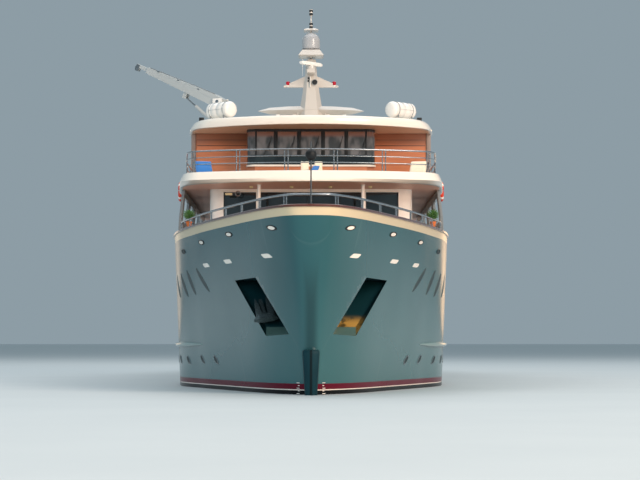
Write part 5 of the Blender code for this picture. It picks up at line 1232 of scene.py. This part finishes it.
def build_saloon():
    """Main deck house: white walls, tinted panes in black rubber, head strip, and its fittings."""
    dress("saloon_walls", WHITE, 0.004)
    dress("saloon_glass", SALOON_GLASS, 0)
    aft = at(17.4)
    frames = [("y", aft, x0, x0 + 0.66, 2.15, 2.92, 1) for x0 in (0.70, -1.36)]
    for side in (1, -1):
        frames += [("x", side * 1.585, y0, y1, 2.25, 2.92, side) for y0, y1 in window_runs(6.6, 17.0, 6)]
    window_frames("saloon_window_rubbers", frames, BLACK)
    frames = [("x", side * 1.965, y0, y1, 3.55, 4.08, side) for side in (1, -1)
              for y0, y1 in window_runs(9.6, 16.0, 5)]
    window_frames("cabin_window_frames", frames, DARK_TRIM)
    front = at(SALOON_FRONT_S)
    bm = bmesh.new()
    for x0, x1 in ((-1.366, -0.857), (-0.786, 0.786), (0.857, 1.366)):
        round_box(bm, (x0 - 0.004, front - 0.004, 2.146), (x1 + 0.004, front + 0.02, 2.152), 0.001,
                  segments=1)
    for x in (-0.06, 0.45, -0.42):
        round_box(bm, (x - 0.006, front + 0.035, 2.15), (x + 0.006, front + 0.058, 3.02), 0.002, segments=1)
    make("saloon_front_joints", bm, DARK_TRIM)
    bm = bmesh.new()
    round_box(bm, (-1.38, front - 0.012, 3.022), (1.38, front + 0.002, 3.040), 0.004)
    make("saloon_head_strip", bm, CREAM)
    bm = bmesh.new()
    for x in (-0.92, 0.91, -0.30, 0.30):
        turned(bm, (x, at(5.6), 3.071), (x, at(5.6), 3.048), ((0, 0.03), (0.5, 0.028), (1, 0.018)), 20)
    make("deckhead_lamps", bm, LAMP_GLASS)
    bm = bmesh.new()
    round_box(bm, (-1.33, at(5.85), 2.955), (-1.22, at(5.85) + 0.05, 2.99), 0.006)
    make("deck_light_box", bm, LAMP_GLASS)
    bm = bmesh.new()
    tube(bm, hoop(Vector((-1.135, at(5.95), 2.985)), Vector((1, 0, 0)), UP, 0.038, 24), 0.009, 8, closed=True)
    make("hose_reel_ring", bm, STEEL)
    bm = bmesh.new()
    for x0, x1 in ((-1.68, -1.17), (1.21, 1.31)):
        round_box(bm, (x0, at(5.35), DECK_Z + 0.001), (x1, at(5.62), 2.42), 0.02, segments=3)
        round_box(bm, (x0 - 0.012, at(5.35) - 0.01, 2.42), (x1 + 0.012, at(5.62) + 0.01, 2.445), 0.006)
    make("deck_lockers", bm, WHITE)
    bm = bmesh.new()
    for x, y, top in ((-0.885, at(5.15), 2.50), (-0.80, at(3.0), 2.20)):
        turned(bm, (x, y, DECK_Z), (x, y, top),
               ((0, 0.05), (0.03, 0.03), (0.80, 0.03), (0.84, 0.05), (0.97, 0.05), (1.0, 0.03)), 20)
    make("deck_vents", bm, WHITE)
    for _, word in SIDES:
        dress("saloon_door_" + word, WHITE, 0.004)
        dress("side_wing_" + word, SCREEN_PAINTED_SHADE, 0.008)
    for side, word in SIDES:
        x, y = side * 0.06, aft + 0.006
        bm = bmesh.new()
        tube(bm, ((x, y - 0.03, 2.40), (x, y + 0.015, 2.40), (x, y + 0.02, 2.41), (x, y + 0.02, 2.53),
                  (x, y + 0.015, 2.54), (x, y - 0.03, 2.54)), 0.006, 8)
        door = "saloon_door_" + word
        make(door + "_handle", bm, STEEL, body=door)


def build_pillars():
    """Four turned pillars with a foot disc and a head plate."""
    for name, x, s in (("pillar_front", 0.79, 5.25), ("pillar_aft", 1.80, 18.7)):
        for side, word in SIDES:
            bm = bmesh.new()
            turned(bm, (side * x, at(s), DECK_Z + GAP), (side * x, at(s), CEILING_Z - GAP),
                   ((0, 0.045), (0.006, 0.045), (0.010, 0.026), (0.02, 0.024), (0.98, 0.024),
                    (0.992, 0.026), (0.995, 0.038), (1, 0.038)), 28)
            piece = make(name + "_" + word + "_turned", bm, WHITE)
            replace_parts(piece, name + "_" + word)


# Mast, domes, rafts and crane

def build_mast():
    """Mast with its foot wing, crosstrees, lamps, horn and whips."""
    y = at(MAST_S)
    dress("mast", MAST_PAINTED_SHADE, 0.006, 25)
    bm = bmesh.new()
    for x in (-0.418, 0.418):
        rod(bm, (x, y - 0.02, 5.30), (x, y - 0.02, 5.325), 0.03, 16)
    make("sidelight_feet", bm, WHITE)
    bm = bmesh.new()
    for x in (-0.418, 0.418):
        turned(bm, (x, y - 0.02, 5.325), (x, y - 0.02, 5.395),
               ((0, 0.034), (0.1, 0.036), (0.85, 0.036), (1, 0.022)), 20)
    make("red_mast_lamps", bm, RED_LENS)
    bm = bmesh.new()
    turned(bm, (0.066, y - 0.12, 5.365), (0.066, y - 0.195, 5.36),
           ((0, 0.018), (0.4, 0.022), (0.8, 0.038), (1, 0.052)), 24)
    make("horn_trumpet", bm, SATIN_STEEL)
    bm = bmesh.new()
    turned(bm, (0.066, y - 0.190, 5.36), (0.066, y - 0.198, 5.36), ((0, 0.043), (1, 0.044)), 24)
    for z in (5.375, 5.425):
        round_box(bm, (-0.062, y - 0.175, z), (-0.036, y - 0.12, z + 0.026), 0.003)
    round_box(bm, (-0.05, y - 0.44, 5.60), (0.05, y - 0.36, 5.612), 0.003)
    for x, z in ((-0.045, 4.60), (-0.02, 4.60)):
        round_box(bm, (x, y - 0.30, z), (x + 0.012, y - 0.27, z + 0.02), 0.002)
    make("mast_black_fittings", bm, BLACK)
    bm = bmesh.new()
    round_box(bm, (-0.018, y - 0.20, 5.27), (-0.006, y - 0.10, 5.47), 0.003)
    round_box(bm, (-0.006, y - 0.21, 5.80), (0.006, y - 0.08, 5.93), 0.003)
    make("mast_webs", bm, WHITE)
    bm = bmesh.new()
    lamp_y = y - 0.05
    turned(bm, (0, lamp_y, 6.352), (0, lamp_y, 6.462),
           ((0, 0.026), (0.08, 0.033), (0.38, 0.033), (0.44, 0.024), (0.56, 0.024),
            (0.62, 0.033), (0.92, 0.033), (1, 0.02)), 24)
    turned(bm, (0, lamp_y, 6.588), (0, lamp_y, 6.699),
           ((0, 0.024), (0.08, 0.034), (0.40, 0.034), (0.46, 0.025), (0.55, 0.025),
            (0.62, 0.034), (0.93, 0.034), (1, 0.02)), 24)
    make("masthead_lamps", bm, BLACK)
    bm = bmesh.new()
    for x, low, high in ((-0.238, 4.50, 4.92), (0.262, 4.52, 4.80)):
        rod(bm, (x, y - 0.16, low), (x, y - 0.16, low + 0.16), 0.007, 10)
        rod(bm, (x, y - 0.16, low + 0.15), (x, y - 0.16, high), 0.004, 8)
    for x in (-0.24, 0.262):
        rod(bm, (x, y - 0.16, 4.372), (x, y - 0.16, 4.55), 0.010, 12)
    rod(bm, (-0.155, y + 0.02, 5.50), (-0.155, y + 0.02, 6.20), 0.003, 8)
    make("whip_aerials", bm, WHITE)
    bm = bmesh.new()
    for x in (-0.60, -0.30, 0.30, 0.60):
        turned(bm, (x, y - 0.12, 4.36), (x, y - 0.12, 4.78),
               ((0, 0.035), (0.1, 0.022), (0.9, 0.022), (1, 0.04)), 16)
    make("wing_struts", bm, WHITE)


RADAR_Z = 5.66
RADAR_TURN = 48.0
RADAR_HALF = 0.27


def build_radar():
    """Open-array scanner: a long moulded bar with a raised back on a round gearbox."""
    y = at(MAST_S) - 0.40
    turn = Matrix.Translation((0, y, RADAR_Z)) @ Matrix.Rotation(math.radians(RADAR_TURN), 4, "Z")
    rows = []
    for k in range(13):
        x = RADAR_HALF * (k / 6 - 1)
        # The section shrinks towards both ends of the bar
        end = math.sqrt(max(0.0, 1 - (abs(x) / (RADAR_HALF + 0.003)) ** 10))
        section = ((-0.045, -0.012), (-0.040, -0.028), (0.03, -0.030), (0.042, -0.02), (0.045, 0.015),
                   (0.036, 0.032), (0.0, 0.040), (-0.036, 0.034), (-0.045, 0.018))
        rows.append([turn @ Vector((x, a * (0.6 + 0.4 * end), b * (0.5 + 0.5 * end))) for a, b in section])
    bm = bmesh.new()
    loft(bm, rows)
    turned(bm, (0, y, 5.6155), (0, y, 5.65), ((0, 0.04), (0.2, 0.042), (0.9, 0.036), (1, 0.03)), 24)
    scanner = make("radar_scanner_moulding", bm, WHITE, body="radar_scanner")
    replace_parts(scanner, "radar_scanner")


DOME_FOOT_Z = 5.9403
DOME_TALL = 0.3295
DOME_SKIRT = 0.17
DOME_RADIUS = 0.1625


def build_dome():
    """Satellite dome: moulded radome over a short skirt, a dark joint line at its foot."""
    y = at(MAST_S) - 0.10
    low = DOME_FOOT_Z
    profile = [(0.0, 0.125), (0.01, 0.150), (0.03, 0.1615), (0.05, DOME_RADIUS), (DOME_SKIRT, DOME_RADIUS)]
    for k in range(1, 13):
        a = math.radians(90 * k / 12)
        profile.append((DOME_SKIRT + (DOME_TALL - DOME_SKIRT) * math.sin(a),
                        max(DOME_RADIUS * math.cos(a), 0.002)))
    bm = bmesh.new()
    turned(bm, (0, y, low), (0, y, low + DOME_TALL), [(z / DOME_TALL, r) for z, r in profile], 48)
    dome = make("satellite_radome", bm, DOME_GREY_AND_SHADE)
    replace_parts(dome, "satellite_dome")
    bm = bmesh.new()
    turned(bm, (0, y, low + 0.022), (0, y, low + 0.030),
           ((0, 0.160), (0.2, 0.1640), (0.8, 0.1640), (1, 0.160)), 48)
    make("radome_joint", bm, BLACK)


RAFT_X = 1.55
RAFT_S = 9.35
RAFT_Z = 4.68
RAFT_TURN = 45.0
RAFT_RADIUS = 0.140
RAFT_HALF = 0.28
RAFT_RIBS = (
    # share of the length, share of the radius
    (0.0, 0.2), (0.006, 0.62), (0.03, 0.86), (0.07, 0.97), (0.10, 1.0), (0.22, 1.0), (0.235, 0.97),
    (0.255, 0.97), (0.27, 1.0), (0.47, 1.0), (0.48, 0.975), (0.52, 0.975), (0.53, 1.0), (0.73, 1.0),
    (0.745, 0.97), (0.765, 0.97), (0.78, 1.0), (0.90, 1.0), (0.93, 0.97), (0.97, 0.86), (0.994, 0.62),
    (1.0, 0.2),
)


def build_rafts():
    """Life-raft canisters: ribbed white shells in two halves, a grey joint, steel straps and cradles."""
    foot_z, bar_z = ROOF_TOP_Z + 0.0005 - RAFT_Z, ROOF_TOP_Z + 0.008 - RAFT_Z
    for side, word in SIDES:
        turn = (Matrix.Translation((side * RAFT_X, at(RAFT_S), RAFT_Z))
                @ Matrix.Rotation(math.radians(-side * RAFT_TURN), 4, "Z"))
        bm = bmesh.new()
        turned(bm, (0, -RAFT_HALF, 0), (0, RAFT_HALF, 0), [(t, r * RAFT_RADIUS) for t, r in RAFT_RIBS], 40)
        moved(bm, turn)
        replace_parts(make("raft_shell_" + word, bm, WHITE), "life_raft_" + word)
        bm = bmesh.new()
        wide, long = RAFT_RADIUS + 0.0005, RAFT_HALF - 0.004
        seam = [(wide * squared(math.cos(a), 0.35), long * squared(math.sin(a), 0.35), 0) for a in circle(40)]
        tube(bm, [turn @ Vector(p) for p in seam], 0.0035, 6, closed=True)
        make("raft_joint_" + word, bm, HAZE_GREY)
        bm = bmesh.new()
        for y in (-0.17, 0.17):
            strap = hoop(Vector((0, y, 0)), UP, Vector((1, 0, 0)), RAFT_RADIUS + 0.002, 32)
            tube(bm, [turn @ p for p in strap], 0.005, 6, closed=True)
            for x in (-0.10, 0.10):
                rod(bm, turn @ Vector((x, y, foot_z)), turn @ Vector((x * 1.05, y, -0.10)), 0.012, 10)
            rod(bm, turn @ Vector((-0.13, y, bar_z)), turn @ Vector((0.13, y, bar_z)), 0.008, 8)
        make("raft_cradle_" + word, bm, SATIN_STEEL)
    bm = bmesh.new()
    for x in (-1.86, 1.84):
        round_box(bm, (x - 0.042, at(8.75), 4.371), (x + 0.042, at(8.75) + 0.12, 4.49), 0.008)
    make("roof_vent_boxes", bm, BLACK)


CRANE_X = -1.71
CRANE_S = 12.5
CRANE_PIVOT_Z = 5.20
CRANE_HEADING = 60.0
BOOM_LIFT = 23.5
PEDESTAL_BOLTS = 12


def build_crane():
    """Deck crane: painted boom and jib, steel sheaves and pins, ram, and a canvas cover round the column."""
    x, y = CRANE_X, at(CRANE_S)
    bm = bmesh.new()
    turned(bm, (x, y, 4.3703), (x, y, 4.72),
           ((0, 0.21), (0.06, 0.21), (0.085, 0.20), (0.10, 0.155), (0.9, 0.150), (0.97, 0.150),
           (1, 0.140)), 40)
    base = make("crane_pedestal", bm, WHITE)
    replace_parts(base, "crane_base")
    bm = bmesh.new()
    for a in circle(PEDESTAL_BOLTS, 0.5):
        px, py = x + 0.184 * math.cos(a), y + 0.184 * math.sin(a)
        turned(bm, (px, py, 4.392), (px, py, 4.408), ((0, 0.012), (0.9, 0.012), (1, 0.009)), 6)
    make("pedestal_bolts", bm, STEEL)
    dress("crane_column", WHITE, 0.005, 28)
    for node in ("crane_boom", "crane_jib", "ram_cylinder"):
        dress(node, HAZE_GREY, 0.005, 28)
    dress("ram_rod", STEEL, 0.002, 28)
    heading = math.radians(CRANE_HEADING)
    out = Vector((-math.sin(heading), math.cos(heading), 0))
    # Level points along the boom's heading from the luffing pin; lifted follows the boom's slope too
    level = Matrix((out, UP.cross(out), UP)).transposed().to_4x4()
    level.translation = (x, y, CRANE_PIVOT_Z)
    lifted = level @ Matrix.Rotation(math.radians(-BOOM_LIFT), 4, "Y")
    bm = bmesh.new()
    rows = []
    for k in range(13):
        z = -0.462 + 0.26 * k / 12
        row = []
        for a in circle(40):
            fold = (0.010 * math.sin(7 * a + 1.3 * k) * math.sin(3 * a - 0.9 * k)
                    + 0.006 * math.sin(11 * a + k))
            tied = 0.012 * (abs(k - 6) > 4) + 0.036 * max(0.0, math.cos(a)) ** 6
            radius = 0.148 + fold - tied
            row.append((radius * math.cos(a), radius * math.sin(a), z))
        rows.append(row)
    loft(bm, rows)
    moved(bm, level)
    cover = make("column_canvas_cover", bm, WHITE_CANVAS, smooth=60, body="crane_column")
    bm = bmesh.new()
    for side in (1, -1):
        rod(bm, (0, side * 0.119, 0), (0, side * 0.130, 0), 0.034, 24)
        rod(bm, (0.17, side * 0.069, -0.36), (0.17, side * 0.077, -0.36), 0.020, 20)
    moved(bm, level)
    make("crane_pin_heads", bm, STEEL, body="crane_column")
    bm = bmesh.new()
    for position in (0.5, 1.0, 1.5):
        for side in (1, -1):
            round_box(bm, (position, side * 0.062 - 0.01, 0.050),
                      (position + 0.05, side * 0.062 + 0.01, 0.075), 0.003)
    tube(bm, ((0.15, 0.03, 0.105), (0.6, 0.03, 0.10), (1.2, 0.03, 0.083), (1.76, 0.03, 0.062)), 0.007, 8)
    moved(bm, lifted)
    make("boom_hose_and_clips", bm, SATIN_STEEL, body="crane_boom")
    bm = bmesh.new()
    head = 2.05
    turned(bm, (head, -0.026, -0.045), (head, 0.026, -0.045),
           ((0, 0.052), (0.3, 0.052), (0.42, 0.040), (0.58, 0.040), (0.7, 0.052),
           (1, 0.052)), 28)
    for side in (1, -1):
        round_box(bm, (head - 0.05, side * 0.034 - 0.004, -0.10),
                  (head + 0.028, side * 0.034 + 0.004, 0.03), 0.003)
    moved(bm, lifted)
    make("jib_sheave", bm, SATIN_STEEL, body="crane_jib")


# Deck gear

CLOTH_FRAMES = 20
SWELL_CAP = 0.007


def pad(bm, start, end, thick, channels, half):
    """A crowned pad between two points, pinched at its sewn channels."""
    start, end = Vector(start), Vector(end)
    along = end - start
    normal = along.cross(Vector((1, 0, 0))).normalized()
    if normal.z < 0:
        normal = -normal
    rows = []
    count = channels * 6
    for k in range(count + 1):
        pinch = abs(math.sin(math.pi * channels * k / count)) ** 0.45
        swell = thick * (0.25 if k in (0, count) else 0.55 + 0.45 * pinch)
        row = []
        for a in circle(20):
            wide = half * squared(math.cos(a), 0.35)
            tall = swell / 2 * squared(math.sin(a), 0.8) * (1 - 0.25 * abs(math.cos(a)) ** 3)
            row.append(start + along * (k / count) + Vector((wide, 0, 0)) + normal * (tall + thick / 2))
        rows.append(row)
    loft(bm, rows)


def plump(piece, voxel):
    """Presses the pad out from inside as cloth, keeps each point within the cap, and rounds it once more."""
    scene = bpy.context.scene
    canvas = piece.data.materials[0]
    remesh = piece.modifiers.new("even_mesh", "REMESH")
    remesh.mode = "VOXEL"
    remesh.voxel_size = voxel
    evened = apply_modifiers(piece)
    evened.materials.clear()
    evened.materials.append(canvas)
    cloth = piece.modifiers.new("filling", "CLOTH")
    cloth.settings.use_pressure = True
    cloth.settings.uniform_pressure_force = 4.0
    cloth.settings.effector_weights.gravity = 0.0
    cloth.point_cache.frame_start, cloth.point_cache.frame_end = 1, CLOTH_FRAMES
    for number in range(1, CLOTH_FRAMES + 1):
        scene.frame_set(number)
    swollen = piece.evaluated_get(bpy.context.evaluated_depsgraph_get()).to_mesh()
    pressed = [after.co.copy() for after in swollen.vertices]
    piece.modifiers.clear()
    for before, after in zip(evened.vertices, pressed):
        step = after - before.co
        before.co += step * min(1.0, SWELL_CAP / max(step.length, 1e-9))
    scene.frame_set(1)
    rounded = piece.modifiers.new("rounded", "SUBSURF")
    rounded.levels = rounded.render_levels = 1
    evened.polygons.foreach_set("use_smooth", [True] * len(evened.polygons))


LOUNGER_X = 1.52
LOUNGER_S = 5.95
LOUNGER_TURN = 16.0


def build_lounger(name, side, canvas, frame_material):
    """Padded lounger on a frame: long seat pad, raised back pad, sewn channels, its foot turned inboard."""
    low = FLOOR_Z + 0.0006
    turn = (Matrix.Translation((side * LOUNGER_X, at(LOUNGER_S), 0))
            @ Matrix.Rotation(math.radians(-side * LOUNGER_TURN), 4, "Z"))
    bm = bmesh.new()
    pad(bm, (0, 0.025, low + 0.061), (0, 0.525, low + 0.061), 0.053, 4, half=0.142)
    pad(bm, (0, 0.550, low + 0.083), (0, 0.760, low + 0.379), 0.038, 3, half=0.142)
    moved(bm, turn)
    piece = make(name + "_pads", bm, canvas, smooth=50)
    plump(piece, 0.007)
    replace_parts(piece, name)
    bm = bmesh.new()
    for x in (0.135, -0.135):
        tube(bm, ((x, 0.01, low + 0.045), (x, 0.56, low + 0.045), (x, 0.585, low + 0.07),
                  (x, 0.785, low + 0.37)), 0.010, 8)
        for y in (0.06, 0.50):
            rod(bm, (x, y, low), (x, y, low + 0.045), 0.009, 10)
        tube(bm, ((x, 0.70, low + 0.245), (x, 0.80, low + 0.03)), 0.006, 8)
    for y in (0.01, 0.30):
        rod(bm, (-0.135, y, low + 0.045), (0.135, y, low + 0.045), 0.008, 10)
    moved(bm, turn)
    make(name + "_frame", bm, frame_material)


def build_chairs():
    """Two cream easy chairs with a blue cushion between them, before the bridge."""
    low = FLOOR_Z
    bm = bmesh.new()
    for x in (-0.10, 0.12):
        pad(bm, (x, at(6.755), low + 0.146), (x, at(6.995), low + 0.146), 0.058, 1, half=0.069)
        pad(bm, (x, at(7.005), low + 0.206), (x, at(7.075), low + 0.414), 0.038, 1, half=0.069)
    chairs = make("foredeck_chair_pads", bm, CREAM_CANVAS, smooth=50)
    plump(chairs, 0.006)
    bm = bmesh.new()
    pad(bm, (0.053, at(6.785), low + 0.224), (0.087, at(6.895), low + 0.316), 0.038, 1, half=0.055)
    cushion = make("foredeck_blue_cushion", bm, BLUE_CANVAS, smooth=50)
    plump(cushion, 0.005)
    bm = bmesh.new()
    for x in (-0.10, 0.12):
        for dx in (-0.06, 0.06):
            for s in (6.78, 6.98):
                rod(bm, (x + dx, at(s), low), (x + dx, at(s), low + 0.15), 0.009, 10)
    make("foredeck_chair_legs", bm, CAP_TEAK)


BUOY_X = 2.152
BUOY_S = 7.9
BUOY_Z = 3.16
BUOY_RADIUS = 0.13
POT_S = 4.35
LEAF_COUNT = 46
GOLDEN_ANGLE = 2.399963
STAFF_TOP = 3.206


def build_deck_gear():
    """Windlass, bollards, hatch, anchor, gates, propellers, rudders and jackstaff."""
    for node in ("windlass", "bitt_bow_port", "bitt_bow_starboard", "bitt_aft_port", "bitt_aft_starboard"):
        dress(node, ZINC, 0.006, 28)
    dress("anchor_starboard", ANCHOR_ZINC, 0.008, 25)
    dress("hatch_coaming", WHITE, 0.004)
    dress("hatch_lid", WHITE, 0.006)
    for _, word in SIDES:
        dress("gate_" + word, TOPSIDES, 0.004)
        dress("propeller_" + word, BRONZE, 0.003, 25, smooth=45)
        dress("rudder_" + word, FIN_PAINT, 0.006, 40, smooth=30)
    bm = bmesh.new()
    round_box(bm, (-0.21, at(3.53), 1.9562), (0.21, at(3.97), 1.9625), 0.004)
    make("hatch_lens", bm, PORT_GLASS, body="hatch_lid")
    bm = bmesh.new()
    for x in (-0.16, 0.16):
        tube(bm, [(x + dx, at(3.50), z)
                  for dx, z in ((-0.04, 1.957), (-0.04, 1.972), (0.04, 1.972), (0.04, 1.957))],
             0.005, 8)
    make("hatch_handles", bm, STEEL, body="hatch_lid")
    bm = bmesh.new()
    y = at(0.03)
    turned(bm, (0, y, RIM_Z + CAP_TOP), (0, y, STAFF_TOP),
           ((0, 0.024), (0.008, 0.024), (0.012, 0.010), (0.7, 0.009), (0.985, 0.007), (0.99, 0.012),
            (1.0, 0.009)), 20)
    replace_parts(make("jackstaff_pole", bm, DARK_STEEL), "jackstaff")
    bm = bmesh.new()
    ball(bm, (0, y, 3.041), 0.072, 32, 20)
    make("anchor_ball", bm, BALL_BLACK)


def build_pots():
    """Potted shrubs on the caps: leaves spread evenly over a ball by the golden angle."""
    plants, pots = bmesh.new(), bmesh.new()
    rim = rim_point(POT_S / TRANSOM_S)
    for side in (1, -1):
        foot = Vector((side * (rim.x - 0.045), rim.y, rim_z(POT_S) + CAP_TOP))
        turned(pots, foot, foot + UP * 0.09,
               ((0, 0.030), (0.72, 0.041), (0.74, 0.046), (0.98, 0.047), (1.0, 0.040)), 24)
        for k in range(LEAF_COUNT):
            a, h = k * GOLDEN_ANGLE, (k + 0.5) / LEAF_COUNT
            r = 0.060 * math.sqrt(1 - (2 * h - 1) ** 2)
            centre = foot + Vector((r * math.cos(a), r * math.sin(a), 0.13 + 0.11 * h))
            out = Vector((math.cos(a), math.sin(a), 1.2 * h - 0.2)).normalized()
            wide = out.cross(UP).normalized()
            mid = centre + UP * 0.012
            leaf = [centre - out * 0.045, mid + wide * 0.016, centre + out * 0.05, mid - wide * 0.016]
            loft(plants, [[p - out.cross(wide) * 0.0015 for p in leaf], leaf])
        rod(plants, foot + UP * 0.07, foot + UP * 0.20, 0.006, 8)
    make("pot_plants", plants, LEAVES, smooth=None)
    make("terracotta_pots", pots, TERRACOTTA)


def build_lifebuoys():
    """Orange lifebuoys with white bands, hung from steel hooks on the upper deck's edge."""
    buoys, bands, hooks = bmesh.new(), bmesh.new(), bmesh.new()
    aft = Vector((0, 1, 0))
    for side in (1, -1):
        centre = Vector((side * BUOY_X, at(BUOY_S), BUOY_Z))
        tube(buoys, hoop(centre, aft, UP, BUOY_RADIUS, 36), 0.034, 14, closed=True)
        for a in circle(4, 0.5):
            here = centre + (aft * math.cos(a) + UP * math.sin(a)) * BUOY_RADIUS
            along = (UP * math.cos(a) - aft * math.sin(a)) * 0.02
            turned(bands, here - along, here + along,
                   ((0, 0.035), (0.1, 0.0365), (0.9, 0.0365), (1, 0.035)), 16)
        for y in (at(BUOY_S) - 0.09, at(BUOY_S) + 0.09):
            tube(hooks, ((side * 2.09, y, 3.235), (side * 2.09, y, 3.262), (side * BUOY_X, y, 3.262)),
                 0.005, 8)
    make("lifebuoys", buoys, ORANGE)
    make("lifebuoy_bands", bands, WHITE)
    make("lifebuoy_hooks", hooks, STEEL)


STAIR_FOOT_S = 20.55
STAIR_TOP_S = 19.32


def build_stern():
    """Swim platform planks, stairs, stern tubes, skeg and the aft deck's seat."""
    dress("swim_platform", DECK_TEAK, 0.008)
    dress("stairs_aft", WHITE, 0.004)
    bm = bmesh.new()
    for side in (1, -1):
        x = side * 0.95
        turned(bm, (x, at(15.8), -0.77), (x, at(20.15), -0.77),
               ((0, 0.045), (0.92, 0.045), (0.935, 0.060), (0.995, 0.060), (1, 0.055)), 28)
        round_box(bm, (x - 0.015, at(19.97), -0.77), (x + 0.015, at(20.12), -0.30), 0.008)
    make("stern_tubes", bm, FIN_PAINT)
    side_view = ((14.0, -DRAFT), (19.15, -DRAFT), (19.4, -0.35), (14.0, -0.35))
    rows = [[(x, at(s), z) for s, z in side_view] for x in (-0.06, 0.06)]
    lofted("keel_skeg", rows, FIN_PAINT, smooth=None)
    bm = bmesh.new()
    round_box(bm, (-0.85, at(20.9), DECK_Z + 0.001), (0.85, at(21.25), DECK_Z + 0.20), 0.02)
    make("stern_seat_base", bm, WHITE)
    bm = bmesh.new()
    for k in range(3):
        x0 = -0.84 + 0.56 * k
        round_box(bm, (x0 + 0.010, at(20.914), DECK_Z + 0.205), (x0 + 0.550, at(21.236), DECK_Z + 0.272),
                  0.026, segments=4)
    pads = make("stern_seat_pads", bm, CREAM_CANVAS)
    plump(pads, 0.009)
    bm = bmesh.new()
    for k in range(9):
        z = DECK_Z + GAP + (FLOOR_Z - DECK_Z - GAP) * (k + 0.7) / 9
        y = at(STAIR_FOOT_S - (z - DECK_Z) * (STAIR_FOOT_S - STAIR_TOP_S) / (FLOOR_Z - DECK_Z))
        round_box(bm, (-0.235, y - 0.066, z - 0.001), (0.235, y + 0.056, z + 0.006), 0.002, segments=1)
    make("stair_treads", bm, DECK_TEAK)
    bm = bmesh.new()
    for side in (1, -1):
        route = ((STAIR_FOOT_S, DECK_Z + 0.08), (STAIR_FOOT_S, DECK_Z + 0.50), (19.40, FLOOR_Z + 0.42),
                 (19.26, FLOOR_Z + 0.42), (19.26, FLOOR_Z + 0.09))
        tube(bm, [(side * 0.262, at(s), z) for s, z in route], 0.010, 10)
    make("stair_handrails", bm, STEEL)
    bm = bmesh.new()
    for side in (1, -1):
        route = ((23.2, 0.362), (23.2, 0.60), (22.9, 0.68), (22.62, 0.68))
        tube(bm, [(side * 1.1, at(s), z) for s, z in route], 0.011, 10)
    make("platform_handles", bm, STEEL)


# Studio

FLOOR_HALF = 400
CAMERA_AT = (0, -36.75, 0.70)
CAMERA_LENS = 112.3
CAMERA_TILT = 2.895
CAMERA_PAN = -0.258
LAMPS = (
    # name, place, aim, size, power, colour, whether it mirrors, whether it lights the floor
    ("key", (24, -40, 20), (0, -6, 2), 16, 11500, "ffeedd", True, True),
    ("fill", (-28, -42, 16), (0, -6, 2), 22, 5400, "e6edf4", False, True),
    ("low_front", (4, -62, 2.5), (0, -6, 3.5), 26, 13000, "fdeee2", False, False),
    ("port_warm", (13, -24, 4), (1.7, -2.8, 3.6), 5, 1900, "ffc295", False, False),
    ("port_rim", (15, 42, 5), (1.5, 0, 1.5), 9, 560, "ffcf9c", True, False),
    ("starboard_rim", (-15, 42, 5), (-1.5, 0, 1.5), 9, 240, "ffe0bd", True, False),
    ("top", (0, 6, 34), (0, 2, 3), 44, 8500, "ffffff", True, True),
)


def build_studio():
    """Pale floor at the waterline, soft lights, and the camera dead ahead at the photograph's height."""
    bm = bmesh.new()
    bm.faces.new([bm.verts.new((x * FLOOR_HALF, y * FLOOR_HALF, 0))
                  for x, y in ((-1, -1), (1, -1), (1, 1), (-1, 1))])
    floor_mat, tree, shader = start_material("pale_studio_floor", 0.6)
    feed(shader, Base_Color=mix(tree, noise(tree, place(tree), 0.5, 3.0), "cfd6d8", "d9dfe0"))
    floor = make("studio_floor", bm, floor_mat, smooth=None, body=None)
    world = bpy.data.worlds.new("studio")
    bpy.context.scene.world = world
    world.use_nodes = True
    sky = world.node_tree.nodes["Background"]
    sky.inputs["Color"].default_value = srgb("a6b8c2")
    sky.inputs["Strength"].default_value = 0.70
    off_floor = bpy.data.collections.new("not_the_floor")
    off_floor.objects.link(floor)
    off_floor.collection_objects[0].light_linking.link_state = "EXCLUDE"
    for name, here, aim, size, power, colour, mirrors, on_floor in LAMPS:
        light = bpy.data.lights.new(name, "AREA")
        light.size = size
        light.spread = math.pi
        light.energy = power
        light.color = srgb(colour)[:3]
        obj = bpy.data.objects.new(name, light)
        obj.location = here
        obj.rotation_euler = (Vector(aim) - Vector(here)).to_track_quat("-Z", "Y").to_euler()
        # Lights that only lift the shade don't mirror, low ones don't pool on the floor, and none is seen
        obj.visible_glossy = mirrors
        obj.visible_camera = False
        if not on_floor:
            obj.light_linking.receiver_collection = off_floor
        bpy.context.scene.collection.objects.link(obj)
    camera = bpy.data.cameras.new("camera")
    camera.lens = CAMERA_LENS
    camera.sensor_width = 36.0
    camera.clip_end = 600.0
    obj = bpy.data.objects.new("camera", camera)
    obj.location = CAMERA_AT
    obj.rotation_euler = (math.radians(90 + CAMERA_TILT), 0, math.radians(CAMERA_PAN))
    bpy.context.scene.collection.objects.link(obj)
    bpy.context.scene.camera = obj
    bpy.context.scene.view_settings.view_transform = "Standard"


build_studio()
build_ship_side()
build_fin()
build_side_fittings()
build_draught_marks()
build_caps()
build_rub_rails()
build_upper_deck()
build_roof()
build_rails()
build_bridge()
build_saloon()
build_pillars()
build_mast()
build_radar()
build_dome()
build_rafts()
build_crane()
build_lounger("lounger_blue", -1, BLUE_CANVAS, STEEL)
build_lounger("lounger_cream", 1, CREAM_CANVAS, CAP_TEAK)
build_chairs()
build_deck_gear()
build_pots()
build_lifebuoys()
build_stern()
